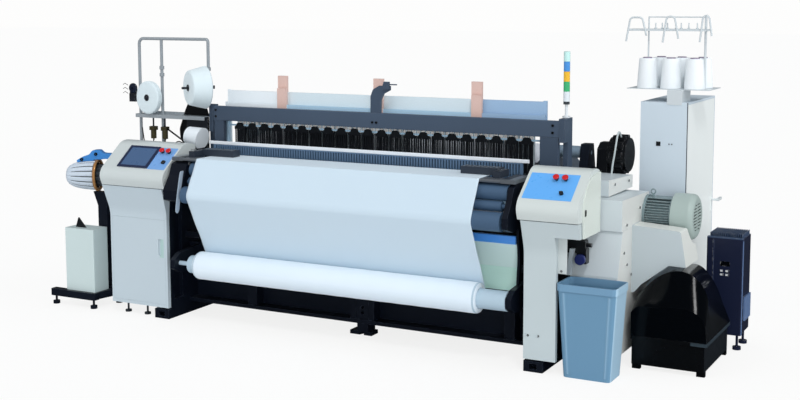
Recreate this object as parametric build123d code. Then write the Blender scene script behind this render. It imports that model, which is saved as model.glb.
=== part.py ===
from build123d import *
from math import acos, atan2, cos, degrees, hypot, radians, sin
import os

# A broad air-jet power loom with its weft feeder, yarn stands, drive units and waste bin.
# Millimetres. X runs along the loom, +Z is up, and Y is drawn as the distance back
# from the front face of the side frames. When a piece is written out, everything moves
# forward by CENTRE_FOOT_BACK, so the origin is on the floor under the centre foot.

# Frame
FRAME_GAP = 2604.0
FRAME_THICK = 120.0
FRAME_BACK = 1450.0
FRAME_TOP = 1085.0
COVER_BACK = 250.0
COVER_LIP = 30.0
CENTRE_FOOT_BACK = 315.0
POCKET = 25.0
ARCH = (540.0, 1100.0)
ARCH_TOP = 500.0
ARCH_CORNER = 60.0
HALF = FRAME_GAP / 2
OUTER = HALF + FRAME_THICK

# Running and fitting clearances
RUN = 0.3
GAP = 0.8
SHEET = 3.0
SIDE_GAP = 3.0
FRAME_FRONT = COVER_LIP + RUN

# Cross members
BEAM_FRONT = 240.0
BEAM_WEB = 335.0
BEAM_BOTTOM = 82.0
BEAM_TOP = 330.0
FLANGE = 18.0
REAR_BEAM = (1290.0, 1400.0)
REAR_BEAM_Z = (160.0, 380.0)
TOP_BEAM_X = (-1262.0, 1322.0)
TOP_BEAM_Y = (500.0, 535.0)
TOP_BEAM_Z = (1330.0, 1432.0)
LEFT_POST_X = (-1254.0, -1176.0)
RIGHT_POST_X = (1198.0, 1316.0)

# Cloth path: each roller is (distance back, height, radius)
TAKE_UP = (40.0, 1043.0, 50.0)
PRESS = (4.0, 966.0, 31.0)
GUIDE = (-60.0, 885.0, 57.0)
CORE_RADIUS = 60.0
ROLL = (15.0, 402.0, 92.5)
CLOTH_X = (-1040.0, 1015.0)
CLOTH_THICK = 1.2
CLOTH_GAP = 0.5
CLOTH_START = 300.0
ROLLER_X = 1195.0
ROLLER_LEFT = 1098.0
LEFT_ARM_IN = ROLLER_LEFT + 14.0
JOURNAL = 15.0
JOURNAL_IN = 28.0
ARM_IN = 1205.0
ARM_OUT = 1240.0
CORE_X = ARM_IN - 4
BREAST_TOP = 1122.0
BREAST_X = 1150.0
BREAST_NOSE = 10.0
BREAST_THICK = 20.0
NOSE_AT = (8.0, BREAST_TOP - BREAST_NOSE)
SHAFT_END = 25.0
LEVER_AT = (TAKE_UP[0] + 22, 866.0)
LEVER_PIN = 8.0
GUARD_LEFT = 1075.0
GUARD_FOLD = (225.0, 560.0)
GUARD_TOP = (170.0, 715.0)
GUARD_FOOT = (205.0, 420.0)

# Weaving zone
REED_BACK = 350.0
REED_X = 1150.0
SLEY_X = 1188.0
REED_FOOT = 1052.0
REED_HEIGHT = 152.0
REED_TOP = REED_FOOT + REED_HEIGHT
DENTS = 116
SLEY_SHAFT = (430.0, 700.0, 34.0)
HARNESS_X = 1195.0
HARNESS_FRAME_HEIGHT = 594.0
RAIL_HEIGHT = 130.0
FRONT_HARNESS_BACK = 575.0
HARNESS_PITCH = 30.0
HARNESS_TOP = 1539.0
SHED = 85.0
HEDDLE_GROUPS = 22
BLADES = 5
BAR_HALF = 1.5
STAY_OUT = 10.0
STAY_HALF = 7.0
GUIDE_Y = (556.0, 626.0)
GUIDE_BLOCK_X = (-770.0, -15.0, 700.0)

# Warp
BACK_REST = (1000.0, 1188.0, 39.0)
WARP_BEAM = (1190.0, 760.0, 300.0)
WARP_X = 1120.0

# Consoles: the lower covers and the two control heads share one side profile
HEAD_SEAM = 907.0
SEAM_GAP = 4.0
COVER_BOTTOM = 77.0
LEFT_X = (-1790.0, -1302.0)
LEFT_HEAD_X = (-1803.0, -1262.0)
RIGHT_LEG_X = (1302.0, 1501.0)
RIGHT_HEAD_X = (1284.0, 1657.0)
HEAD_NOSE = -84.0
NOSE_UP = HEAD_SEAM + 61.0
PANEL_FOOT = (-48.0, HEAD_SEAM + 131.0)
PANEL_TOP = (125.0, HEAD_SEAM + 265.0)
HEAD_BACK = 285.0
HEAD_PEAK = (190.0, HEAD_SEAM + 287.0)
HEAD_DROP = 18.0
END_COVER_FOOT = HEAD_SEAM - 91.0
FLARE = 13.0
FLARE_FROM = HEAD_SEAM - 217.0
FLARE_MIDDLE = (-26.0, HEAD_SEAM - 107.0)
DOOR_THICK = 18.0
BUTTON_RADIUS = 19.0
LEFT_BUTTONS = ((-1377.0, 160.0), (-1323.0, 160.0))
LEFT_KEY = (-1318.0, 66.0)
RIGHT_BUTTONS = ((1471.0, 158.0), (1527.0, 158.0))
RIGHT_KNOB = (1533.0, 46.0)
KEY_WIDE = 26.0
STEM_RADIUS = 9.0
STEM_DEPTH = 30.0
KNOB_STEM = 5.0
PLATE_THICK = 2.0
SCREEN_X = (-1658.0, -1443.0)
SCREEN_UP = (20.0, 190.0)
LEFT_DOOR_X = (LEFT_X[0] + 18, LEFT_X[1] - 18)
LEFT_DOOR_Z = (COVER_BOTTOM + 24, FLARE_FROM - 6)

# Right-hand units
TOWER = (1332.0, 600.0)
TOWER_RADIUS = 19.5
TOWER_FOOT = 1446.0
LAMP_HEIGHT = 61.5
MOTOR = (800.0, 856.0, 118.0)
MOTOR_X = (1793.0, 1972.0)
COWL_X = (1972.0, 2107.0)
COWL_RADIUS = 140.0
GEAR_COVER_X = 1793.0
BELT_COVER_Y = (500.0, 780.0)
CABINET_X = (1680.0, 1978.0)
CABINET_Y = (1000.0, 1700.0)
CABINET_TOP = 1530.0
CABINET_SWITCH = (1798.0, 1268.0)
CABINET_DOOR_Y = (CABINET_Y[0] + 14.8, CABINET_Y[1] - 14.8)
CABINET_DOOR_Z = (60.8, CABINET_TOP - 14.8)
CABINET_DOOR_X = (CABINET_X[1] - 21, CABINET_X[1])
HANDLE_AT = (CABINET_Y[1] - 44, 835.0)
HANDLE_SPINDLE = 7.0
DRIVE_X = (2118.0, 2340.0)
DRIVE_Y = (1000.0, 1240.0)
DRIVE_Z = (96.0, 706.0)
DOBBY_Y = (330.0, 440.0, 915.0)
DOBBY_SPLIT = 205.0
DOBBY_FRONT = ((1846.0, 340.0), (1880.0, 378.0), (1961.0, 384.0), (2207.0, 386.0), (2268.0, 340.0), (2288.0, 270.0))
DOBBY_RIDGE = ((1852.0, 420.0), (1893.0, 468.0), (1990.0, 556.0), (2140.0, 586.0), (2215.0, 540.0), (2272.0, 400.0))
DOBBY_REAR = ((1850.0, 380.0), (1890.0, 430.0), (1990.0, 520.0), (2085.0, 540.0), (2160.0, 485.0), (2240.0, 330.0))
DOBBY_X = (1846.0, 2294.0)
RACK_X = (1575.0, 2100.0)
RACK_BRACKET_X = (1847.0, 1942.0)
RACK_BACK = 1187.0
GUIDE_TUBE = 6.0
CONE_SEAT = 1610.0
RACK_PLATE = 4.0
WHEEL_AT = (1590.0, 176.0, HEAD_SEAM - 243.0)
WHEEL_SHAFT = 9.0
BIN_TOP = HEAD_SEAM - 357.0
BIN_WALL = 4.0
BIN_LIP = 40.0
BIN_FOOT = (284.0, 204.0)
BIN_RIM = (352.0, 226.0)
BIN_FOOT_AT = (1688.0, 104.0)
BIN_RIM_AT = (1692.0, 88.0)

# Left-hand units
FEEDER_CENTRE = (-2103.0, 250.0, 917.0)
FEEDER_YAW = 23.0
RING_RADIUS = 116.0
CREEL_BACK = 500.0
CREEL_X = (-1911.0, -1710.0, -1298.0)
CREEL_TOP = 1898.0
CREEL_CLAMPS = (CREEL_TOP - 208, CREEL_TOP - 258)
END_BRACKET_TOP = 1440.0
TUBE = 11.0
PIN = 9.0
FLAT_AT = (-1790.0, 424.0, 1476.0)
FLAT_YAW = -10.0
FLAT_RADIUS = 118.0
FLAT_THICK = 44.0
THICK_AT = (-1350.0, 336.0, 1565.0)
THICK_YAW = -34.0
THICK_RADIUS = (120.0, 150.0)
THICK_LONG = 130.0


# Shared shapes
TURN = {"x": Rot(0, 90, 0), "y": Rot(90, 0, 0), "z": Rot(0, 0, 0)}


def block(x, y, z):
    """A box between three pairs of limits."""
    centre = Pos((x[0] + x[1]) / 2, (y[0] + y[1]) / 2, (z[0] + z[1]) / 2)
    return centre * Box(abs(x[1] - x[0]), abs(y[1] - y[0]), abs(z[1] - z[0]))


def rod(axis, centre, radius, length):
    """A round bar whose middle is at centre."""
    return Pos(*centre) * TURN[axis] * Cylinder(radius, length)


def bar_x(x, y, z, radius):
    """A round bar along X between two places."""
    return rod("x", ((x[0] + x[1]) / 2, y, z), radius, abs(x[1] - x[0]))


def bar_y(x, y, z, radius):
    """A round bar along Y between two places."""
    return rod("y", (x, (y[0] + y[1]) / 2, z), radius, abs(y[1] - y[0]))


def bar_z(x, y, z, radius):
    """A round bar along Z between two heights."""
    return rod("z", (x, y, (z[0] + z[1]) / 2), radius, abs(z[1] - z[0]))


def side_view(points, x, round_by=0):
    """An outline of (back, up) points, pushed through between two places along X."""
    face = make_face(Polyline(*points, close=True))
    if round_by:
        face = fillet(face.vertices(), round_by)
    return extrude(Plane.YZ.offset(min(x)) * face, amount=abs(x[1] - x[0]))


def front_view(points, y, round_by=0):
    """An outline of (along, up) points, pushed through between two depths."""
    face = make_face(Polyline(*points, close=True))
    if round_by:
        face = fillet(face.vertices(), round_by)
    return extrude(Plane.XZ.offset(-max(y)) * face, amount=abs(y[1] - y[0]))


def top_view(points, z, round_by=0):
    """An outline of (along, back) points, pushed up between two heights."""
    face = make_face(Polyline(*points, close=True))
    if round_by:
        face = fillet(face.vertices(), round_by)
    return extrude(Plane.XY.offset(min(z)) * face, amount=abs(z[1] - z[0]))


def tube_path(points, bends, radius):
    """A bent round bar along a route with rounded corners."""
    route = FilletPolyline(*points, radius=bends)
    return sweep((route ^ 0) * Circle(radius), path=route)


def both_sides(shape):
    """The shape and its mirror image about the middle of the loom."""
    return [shape, mirror(shape, about=Plane.YZ)]


def group(*shapes):
    """Separate solids that share one piece name."""
    solids = []
    for shape in shapes:
        solids.extend(shape.solids())
    return Compound(solids)


def joined(first, *others):
    """One solid from several that touch."""
    whole = first
    for other in others:
        whole = whole + other
    return whole


# Side frames
def pocketed(plate, *pockets):
    """A frame plate with shallow cored pockets in both of its faces."""
    for y, z in pockets:
        plate -= block((HALF, HALF + POCKET), y, z)
        plate -= block((OUTER - POCKET, OUTER), y, z)
    return plate


def side_frame(side):
    """A cast side frame in three bolted sections: front with its arms, bridge over the arch, rear."""
    shapes = [frame_front(side), frame_bridge(), frame_rear()]
    if side < 0:
        shapes = [mirror(shape, about=Plane.YZ) for shape in shapes]
    return group(*shapes)


def frame_front(side):
    """The front section: toe, column, arms of the rollers and of the roll, and the sley bearing."""
    plate = side_view([(5, 0), (ARCH[0], 0), (ARCH[0], FRAME_TOP), (HEAD_BACK, FRAME_TOP), (HEAD_BACK, HEAD_SEAM),
                       (FRAME_FRONT, HEAD_SEAM), (FRAME_FRONT, 65), (5, 65)], (HALF, OUTER))
    plate -= block((HALF + 35, OUTER - 35), (4, 60), (16, 50))
    plate = pocketed(plate, ((70, 165), (130, 800)), ((350, 500), (150, 560)))
    arm_top = BREAST_TOP - BREAST_THICK
    roller_arm = side_view([(-106, 850), (-106, 915), (-40, 1010), (-10, 1080), (60, arm_top),
                            (240, arm_top), (345, 1060), (345, 850), (-20, 822)], (ARM_IN, ARM_OUT))
    roll_arm = side_view([(-45, 372), (-45, 430), (20, 470), (340, 500),
                          (340, 330), (20, 335)], (ARM_IN, ARM_OUT))
    upper_root = block((ARM_IN, HALF + 1), (HEAD_BACK + 2, 345), (850, 1060))
    lower_root = block((ARM_IN, HALF + 1), (COVER_BACK + 2, 340), (330, 500))
    frame = joined(plate, roller_arm, roll_arm, upper_root, lower_root)
    if side < 0:
        gear_box = side_view([(-106, 850), (-106, 915), (-40, 1010), (-10, 1080), (60, arm_top),
                              (240, arm_top), (250, 1060), (250, 850), (-20, 822)], (LEFT_ARM_IN, ARM_IN + 1))
        for y, z, _ in (TAKE_UP, PRESS, GUIDE):
            gear_box -= bar_x((LEFT_ARM_IN - 1, ARM_IN + 2), y, z, JOURNAL + RUN)
        frame = joined(frame, gear_box)
    for y, z, _ in (TAKE_UP, PRESS, GUIDE, ROLL):
        frame -= bar_x((ARM_IN - 1, ARM_IN + JOURNAL_IN + RUN), y, z, JOURNAL + RUN)
    frame -= bar_x((HALF - 1, HALF + 50), SLEY_SHAFT[0], SLEY_SHAFT[1], SHAFT_END + RUN)
    if side < 0:
        frame -= bar_x((ARM_OUT - 20 - RUN, ARM_OUT + 1), LEVER_AT[0], LEVER_AT[1], LEVER_PIN + RUN)
    return frame


def frame_bridge():
    """The bridge over the arch, with the back rest's arm and the guides of the harness frames."""
    low = ARCH_TOP - ARCH_CORNER
    bridge = side_view([(ARCH[0], low), (ARCH[0] + ARCH_CORNER, ARCH_TOP), (ARCH[1] - ARCH_CORNER, ARCH_TOP),
                        (ARCH[1], low), (ARCH[1], FRAME_TOP - 34), (ARCH[1] - 20, FRAME_TOP),
                        (ARCH[0], FRAME_TOP)], (HALF, OUTER))
    bridge = pocketed(bridge, ((650, 1040), (590, 940)))
    rest_arm = side_view([(900, FRAME_TOP - 100), (960, 1245), (1040, 1245), (ARCH[1], 980)], (HALF, HALF + 60))
    guides = block((HARNESS_X - 5, HALF + 1), GUIDE_Y, (1000, 1070))
    for back in (FRONT_HARNESS_BACK, FRONT_HARNESS_BACK + HARNESS_PITCH):
        guides -= block((HARNESS_X - 6, HARNESS_X + STAY_OUT + RUN),
                        (back - STAY_HALF - RUN, back + STAY_HALF + RUN), (999, 1071))
    bridge = joined(bridge, rest_arm, guides)
    return bridge - bar_x((HALF - 1, HALF + 61), BACK_REST[0], BACK_REST[1], JOURNAL + RUN)


def frame_rear():
    """The rear section with the bearing of the warp beam."""
    rear = side_view([(ARCH[1], 0), (FRAME_BACK, 0), (FRAME_BACK, 820), (1330, 960), (1130, 1000),
                      (ARCH[1], FRAME_TOP - 34)], (HALF, OUTER))
    rear = pocketed(rear, ((1180, 1390), (130, 480)))
    return rear - bar_x((HALF - 1, HALF + 50), WARP_BEAM[0], WARP_BEAM[1], SHAFT_END + RUN)


def front_cross_beam():
    """A cast channel open to the front, with stiffening ribs and a foot block."""
    reach = (-HALF, HALF)
    beam = block(reach, (BEAM_WEB, BEAM_WEB + FLANGE), (BEAM_BOTTOM, BEAM_TOP))
    beam += block(reach, (BEAM_FRONT, BEAM_WEB), (BEAM_BOTTOM, BEAM_BOTTOM + 24))
    beam += block(reach, (BEAM_FRONT, BEAM_WEB), (BEAM_TOP - FLANGE, BEAM_TOP))
    inner = (BEAM_BOTTOM + 24, BEAM_TOP - FLANGE)
    for x in ((-815, -745), (-10, 30), (125, 165), (1075, 1145)):
        beam += block(x, (BEAM_FRONT + 12, BEAM_WEB), inner)
    return beam


def rear_cross_beam():
    """A box beam between the rear columns."""
    beam = block((-HALF, HALF), REAR_BEAM, REAR_BEAM_Z)
    return fillet(beam.edges().filter_by(Axis.X), 10)


def centre_foot():
    """The two-toed foot bolted into the middle of the front beam, with two round holes."""
    web = block((32, 123), (BEAM_FRONT + 14, BEAM_WEB), (BEAM_BOTTOM + 24.0, 240))
    for z in (150, 185):
        web -= bar_y(78, (BEAM_FRONT, BEAM_WEB + 1), z, 12)
    sole = front_view([(38, 24), (118, 24), (118, BEAM_BOTTOM), (38, BEAM_BOTTOM)],
                      (BEAM_FRONT + 14, BEAM_WEB + FLANGE))
    left_toe = top_view([(-22, 262), (52, 262), (66, 300), (66, 353), (-22, 353)], (0, 24), 4)
    right_toe = top_view([(82, 262), (140, 262), (140, 353), (70, 353), (70, 300)], (0, 24), 4)
    heel = block((20, 130), (320, 353), (0, 24))
    base = joined(sole, left_toe, right_toe, heel)
    return group(base, web)


def top_beam():
    """The deep beam over the weaving zone, with bolt heads at its ends and middle."""
    beam = block(TOP_BEAM_X, TOP_BEAM_Y, TOP_BEAM_Z)
    beam = fillet(beam.edges().filter_by(Axis.X), 4)
    height = (TOP_BEAM_Z[0] + TOP_BEAM_Z[1]) / 2
    for x in (TOP_BEAM_X[0] + 22, TOP_BEAM_X[1] - 40):
        for z in (height - 22, height + 22):
            beam += rod("y", (x, TOP_BEAM_Y[0] - 3, z), 8, 8)
    for x in (22, 52):
        beam += rod("y", (x, TOP_BEAM_Y[0] - 3, height - 12), 8, 8)
    return beam


def top_beam_brackets():
    """Posts, end brackets and the middle hook with its clamp."""
    sill = (FRAME_TOP, FRAME_TOP + 15)
    left_post = block(LEFT_POST_X, TOP_BEAM_Y, (sill[1], TOP_BEAM_Z[0]))
    left_post += block((-OUTER + 20, LEFT_POST_X[1]), TOP_BEAM_Y, sill)
    right_post = block(RIGHT_POST_X, TOP_BEAM_Y, (sill[1], TOP_BEAM_Z[0]))
    right_post += block((RIGHT_POST_X[0], OUTER - 20), TOP_BEAM_Y, sill)
    end = TOP_BEAM_X[0]
    left_end = block((end - 34, end), (496, 560), (1250, END_BRACKET_TOP))
    left_end += block((end - 60, end - 34), (540, 560), (FRAME_TOP, END_BRACKET_TOP))
    end = TOP_BEAM_X[1]
    right_end = block((end, end + 36), (496, 640), (1300, TOWER_FOOT))
    right_end += block((end + 6, end + 36), (560, 640), (FRAME_TOP, 1300))
    y = (TOP_BEAM_Y[0] + 6, TOP_BEAM_Y[0] + 22)
    hook = front_view([(4, TOP_BEAM_Z[1]), (78, TOP_BEAM_Z[1]), (80, 1515), (104, 1560),
                       (150, 1584), (150, 1612), (70, 1612), (22, 1585), (4, 1540)], y)
    clamp = front_view([(96, 1590), (150, 1590), (150, 1640), (110, 1640)], (y[0] - 14, y[0]))
    clamp += bar_x((150, 205), y[0] - 7, 1622, 4)
    return group(left_post, right_post, left_end, right_end, hook, clamp)


def breast_beam():
    """The breast bar that the cloth leaves over, its end plates, and the two temples."""
    low = BREAST_TOP - BREAST_THICK
    bar = block((-BREAST_X, BREAST_X), (NOSE_AT[0], 95), (low, BREAST_TOP))
    bar += bar_x((-BREAST_X, BREAST_X), NOSE_AT[0], NOSE_AT[1], BREAST_NOSE)
    for shape in both_sides(block((BREAST_X, ARM_OUT + 2), (0, 240), (low, BREAST_TOP + 4))):
        bar += shape
    return group(bar, *temples())


def temples():
    """The spring-loaded cloth stretchers at both edges of the cloth."""
    shapes = []
    for side, edge in ((-1, CLOTH_X[0]), (1, CLOTH_X[1])):
        near = edge + side * 62
        far = edge - side * 190
        outside = near + side * 44
        x = (min(near, far), max(near, far))
        body = block(x, (150, 228), (BREAST_TOP + 3, BREAST_TOP + 46))
        body += bar_x((x[0] + 20, x[1] - 20), 226, BREAST_TOP + 25, 20)
        bracket = block((min(near, outside), max(near, outside)), (60, 200), (BREAST_TOP, BREAST_TOP + 40))
        shapes.append(body + bracket)
    return shapes


# Cloth, warp and rollers
def around(centre, reach, degrees_up):
    """A point at a distance from a centre, at an angle up from straight back."""
    angle = radians(degrees_up)
    return (centre[0] + reach * cos(angle), centre[1] + reach * sin(angle))


def tangent(first, near, second, far):
    """Touch points of the straight run between two circles.

    A reach is positive where the circle's touch point lies to the left of travel.
    """
    across = second[0] - first[0]
    up = second[1] - first[1]
    turn = degrees(atan2(up, across)) + degrees(acos((near - far) / hypot(across, up)))
    turn = (turn + 180) % 360 - 180
    return around(first, near, turn), around(second, far, turn), turn


def cloth_sheet():
    """The cloth: over the breast bar, round the guide roller and down behind the roll."""
    faces = []
    for lift in (CLOTH_GAP, CLOTH_GAP + CLOTH_THICK):
        nose = BREAST_NOSE + lift
        guide = GUIDE[2] + lift
        wound = ROLL[2] + 2 * CLOTH_GAP + CLOTH_THICK - lift
        leave, meet, turn_one = tangent(NOSE_AT, -nose, GUIDE, -guide)
        part, land, turn_two = tangent(GUIDE, -guide, ROLL, wound)
        faces.append({
            "start": (CLOTH_START, NOSE_AT[1] + nose), "top": (NOSE_AT[0], NOSE_AT[1] + nose),
            "over": around(NOSE_AT, nose, (turn_one + 180 + 90) / 2), "leave": leave, "meet": meet,
            "round": around(GUIDE, -guide, (turn_one + turn_two) / 2), "part": part, "land": land,
            "wrap": around(ROLL, wound, turn_two - 25), "end": around(ROLL, wound, turn_two - 50)})
    edges = []
    for face in faces:
        edges.append(Line(face["start"], face["top"]))
        edges.append(ThreePointArc(face["top"], face["over"], face["leave"]))
        edges.append(Line(face["leave"], face["meet"]))
        edges.append(ThreePointArc(face["meet"], face["round"], face["part"]))
        edges.append(Line(face["part"], face["land"]))
        edges.append(ThreePointArc(face["land"], face["wrap"], face["end"]))
    edges.append(Line(faces[0]["start"], faces[1]["start"]))
    edges.append(Line(faces[0]["end"], faces[1]["end"]))
    return extrude(Plane.YZ.offset(CLOTH_X[0]) * make_face(edges), amount=CLOTH_X[1] - CLOTH_X[0])


def warp_sheet():
    """The sheet of warp ends from the warp beam over the back rest to the harness."""
    front = (FRONT_HARNESS_BACK + 2 * HARNESS_PITCH, BREAST_TOP + 20)
    faces = []
    for lift in (CLOTH_GAP, CLOTH_GAP + CLOTH_THICK):
        rest = BACK_REST[2] + lift
        wound = WARP_BEAM[2] + lift
        rise, ride, turn_one = tangent(WARP_BEAM, -wound, BACK_REST, -rest)
        slide, stop, turn_two = tangent(BACK_REST, -rest, front, -lift)
        faces.append((rise, ride, around(BACK_REST, -rest, (turn_one + turn_two) / 2), slide, stop))
    edges = []
    for rise, ride, over, slide, stop in faces:
        edges.append(Line(rise, ride))
        edges.append(ThreePointArc(ride, over, slide))
        edges.append(Line(slide, stop))
    edges.append(Line(faces[0][0], faces[1][0]))
    edges.append(Line(faces[0][-1], faces[1][-1]))
    return extrude(Plane.YZ.offset(-WARP_X) * make_face(edges), amount=2 * WARP_X)


def roller(unit, shorter=0.0):
    """A plain roller with a journal at each end."""
    y, z, radius = unit
    barrel = bar_x((-ROLLER_LEFT, ROLLER_X - shorter), y, z, radius)
    barrel = chamfer(barrel.edges().filter_by(GeomType.CIRCLE), 2)
    return barrel + bar_x((-ARM_IN - JOURNAL_IN, ARM_IN + JOURNAL_IN), y, z, JOURNAL)


def cloth_roll():
    """The wound cloth on its grey core tube, with the journals of the core."""
    y, z, radius = ROLL
    core = bar_x((-1105, CORE_X), y, z, CORE_RADIUS)
    core += bar_x((-ARM_IN - JOURNAL_IN, ARM_IN + JOURNAL_IN), y, z, JOURNAL)
    wound = bar_x(CLOTH_X, y, z, radius) - bar_x((-1106, CORE_X + 1), y, z, CORE_RADIUS)
    wound = chamfer(wound.edges().filter_by(GeomType.CIRCLE).sort_by(SortBy.RADIUS)[-2:], 7)
    return group(core, wound)


def back_rest_roller():
    """The roller that turns the warp towards the harness."""
    y, z, radius = BACK_REST
    barrel = bar_x((-HALF + 8, HALF - 8), y, z, radius)
    return barrel + bar_x((-HALF - 58, HALF + 58), y, z, JOURNAL)


def warp_beam():
    """The wound warp between two flanges, on its shaft."""
    y, z, radius = WARP_BEAM
    wound = bar_x((-WARP_X, WARP_X), y, z, radius)
    for x in ((-WARP_X - 14, -WARP_X), (WARP_X, WARP_X + 14)):
        flange = bar_x(x, y, z, radius + 85)
        for turn in range(6):
            angle = radians(60 * turn)
            hole = (y + (radius - 60) * cos(angle), z + (radius - 60) * sin(angle))
            flange -= bar_x((x[0] - 1, x[1] + 1), hole[0], hole[1], 34)
        wound += flange
    return wound + bar_x((-HALF - 49, HALF + 49), y, z, SHAFT_END)


# Sley, reed and harness
def sley():
    """The rocking shaft, its five swords and the beam that holds the reed."""
    y, z, radius = SLEY_SHAFT
    shaft = bar_x((-HALF + 2, HALF - 2), y, z, radius)
    shaft += bar_x((-HALF - 49, HALF + 49), y, z, SHAFT_END)
    beam = side_view([(REED_BACK - 46, REED_FOOT - 42), (REED_BACK - 46, REED_FOOT + 4),
                      (REED_BACK - 7.5, REED_FOOT + 4), (REED_BACK - 7.5, REED_FOOT - 20),
                      (REED_BACK + 7.5, REED_FOOT - 20), (REED_BACK + 7.5, REED_FOOT + 4),
                      (REED_BACK + 34, REED_FOOT + 4), (REED_BACK + 34, REED_FOOT - 42)],
                     (-SLEY_X, SLEY_X))
    whole = shaft + beam
    for x in (-1080, -540, 0, 540, 1080):
        sword = side_view([(y - 30, z), (y + 34, z), (REED_BACK + 30, REED_FOOT - 42),
                           (REED_BACK - 30, REED_FOOT - 42)], (x - 13, x + 13))
        whole += sword + bar_x((x - 40, x + 40), y, z, radius + 14)
    return whole


def reed():
    """The reed: a bottom and a white cap channel with a wall of flat steel dents."""
    half = 6.0
    wall = block((-REED_X, REED_X), (REED_BACK - half, REED_BACK + half), (REED_FOOT - 4, REED_TOP - 22))
    wall -= block((-REED_X - 1, REED_X + 1), (REED_BACK - half - 1, REED_BACK - half + 3),
                  (REED_FOOT + 48, REED_FOOT + 60))
    pitch = (2 * REED_X - 30) / DENTS
    slots = []
    for index in range(DENTS):
        x = -REED_X + 15 + (index + 0.5) * pitch
        slots.append(block((x - pitch * 0.22, x + pitch * 0.22),
                           (REED_BACK - half - 1, REED_BACK + half + 1),
                           (REED_FOOT + 10, REED_TOP - 30)))
    wall -= slots
    cap = block((-SLEY_X, SLEY_X), (REED_BACK - 9, REED_BACK + 9), (REED_TOP - 22, REED_TOP))
    cap = fillet(cap.edges().filter_by(Axis.X), 4)
    foot = block((-REED_X, REED_X), (REED_BACK - 7.2, REED_BACK + 7.2), (REED_FOOT - 20, REED_FOOT - 4))
    return joined(wall, cap, foot)


def harness(back, top):
    """A harness frame: two aluminium rails, two side stays and two heddle bars."""
    y = (back - 6, back + 6)
    bottom = top - HARNESS_FRAME_HEIGHT
    frame = block((-HARNESS_X, HARNESS_X), y, (top - RAIL_HEIGHT, top))
    frame += block((-HARNESS_X, HARNESS_X), y, (bottom, bottom + 100))
    for x in ((-HARNESS_X - STAY_OUT, -HARNESS_X + 14), (HARNESS_X - 14, HARNESS_X + STAY_OUT)):
        frame += block(x, (back - STAY_HALF, back + STAY_HALF), (bottom - 5, top + 5))
    for z in (heddle_bar_height(top), bottom + 124):
        frame += block((-HARNESS_X, HARNESS_X), (back - BAR_HALF, back + BAR_HALF), (z, z + 12))
    return frame


def heddle_bar_height(top):
    """The height of the upper heddle bar under a harness rail."""
    return top - RAIL_HEIGHT - 34


def heddle_places():
    """The middle of each group of heddles along the harness."""
    first = -1085.0
    pitch = 2 * 1085.0 / (HEDDLE_GROUPS - 1)
    return [first + pitch * index for index in range(HEDDLE_GROUPS)]


def heddles(back, top, blades):
    """Flat steel heddles hung in groups, each under a scalloped holder on the bar."""
    bar = heddle_bar_height(top)
    bottom = top - HARNESS_FRAME_HEIGHT + 124
    shapes = []
    for x in heddle_places():
        holder = front_view([(x - 44, bar - 22), (x - 44, bar - 4), (x - 30, bar + 4),
                             (x - 26, bar + 18), (x - 12, bar + 24), (x + 12, bar + 24),
                             (x + 26, bar + 18), (x + 30, bar + 4), (x + 44, bar - 4),
                             (x + 44, bar - 22)], (back - 8, back - BAR_HALF))
        for index in range(blades):
            place = x - 36 + 72 * index / (blades - 1)
            holder += block((place - 4.2, place + 4.2), (back - 5, back - BAR_HALF), (bottom - 6, bar - 20))
        shapes.append(holder)
    return shapes


def guide_blocks(back, top, shift):
    """The laminate blocks that keep neighbouring harness frames apart."""
    shapes = []
    for x in GUIDE_BLOCK_X:
        middle = x + shift
        low = block((middle - 36, middle + 36), (back - 14, back - 6), (top - 60, top + 112))
        low += block((middle - 36, middle + 36), (back - 14, back + 8), (top, top + 112))
        shapes.append(low)
    return shapes


def rear_harness():
    """The raised harness frame with its heddles and guide blocks."""
    back = FRONT_HARNESS_BACK + HARNESS_PITCH
    parts = [harness(back, HARNESS_TOP)]
    parts.extend(heddles(back, HARNESS_TOP, 3))
    parts.extend(guide_blocks(back, HARNESS_TOP, 30))
    return group(*parts)


def front_harness():
    """The lowered harness frame with its guide blocks."""
    top = HARNESS_TOP - SHED
    parts = [harness(FRONT_HARNESS_BACK, top)]
    parts.extend(guide_blocks(FRONT_HARNESS_BACK, top, 42))
    return group(*parts)


def front_heddles():
    """All heddle groups of the front frame."""
    return group(*heddles(FRONT_HARNESS_BACK, HARNESS_TOP - SHED, BLADES))


# Consoles
def cover_profile(x):
    """The lower cover: straight, then swelling forward up to the seam."""
    points = [(0, COVER_BOTTOM), (COVER_BACK, COVER_BOTTOM), (COVER_BACK, HEAD_SEAM)]
    seam_front = HEAD_NOSE + 20
    edges = [Line(points[0], points[1]), Line(points[1], points[2]),
             Line(points[2], (seam_front, HEAD_SEAM)),
             Spline((seam_front, HEAD_SEAM), FLARE_MIDDLE, (0, FLARE_FROM),
                    tangents=((0.42, -1), (0, -1))),
             Line((0, FLARE_FROM), points[0])]
    return extrude(Plane.YZ.offset(min(x)) * make_face(edges), amount=abs(x[1] - x[0]))


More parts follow.
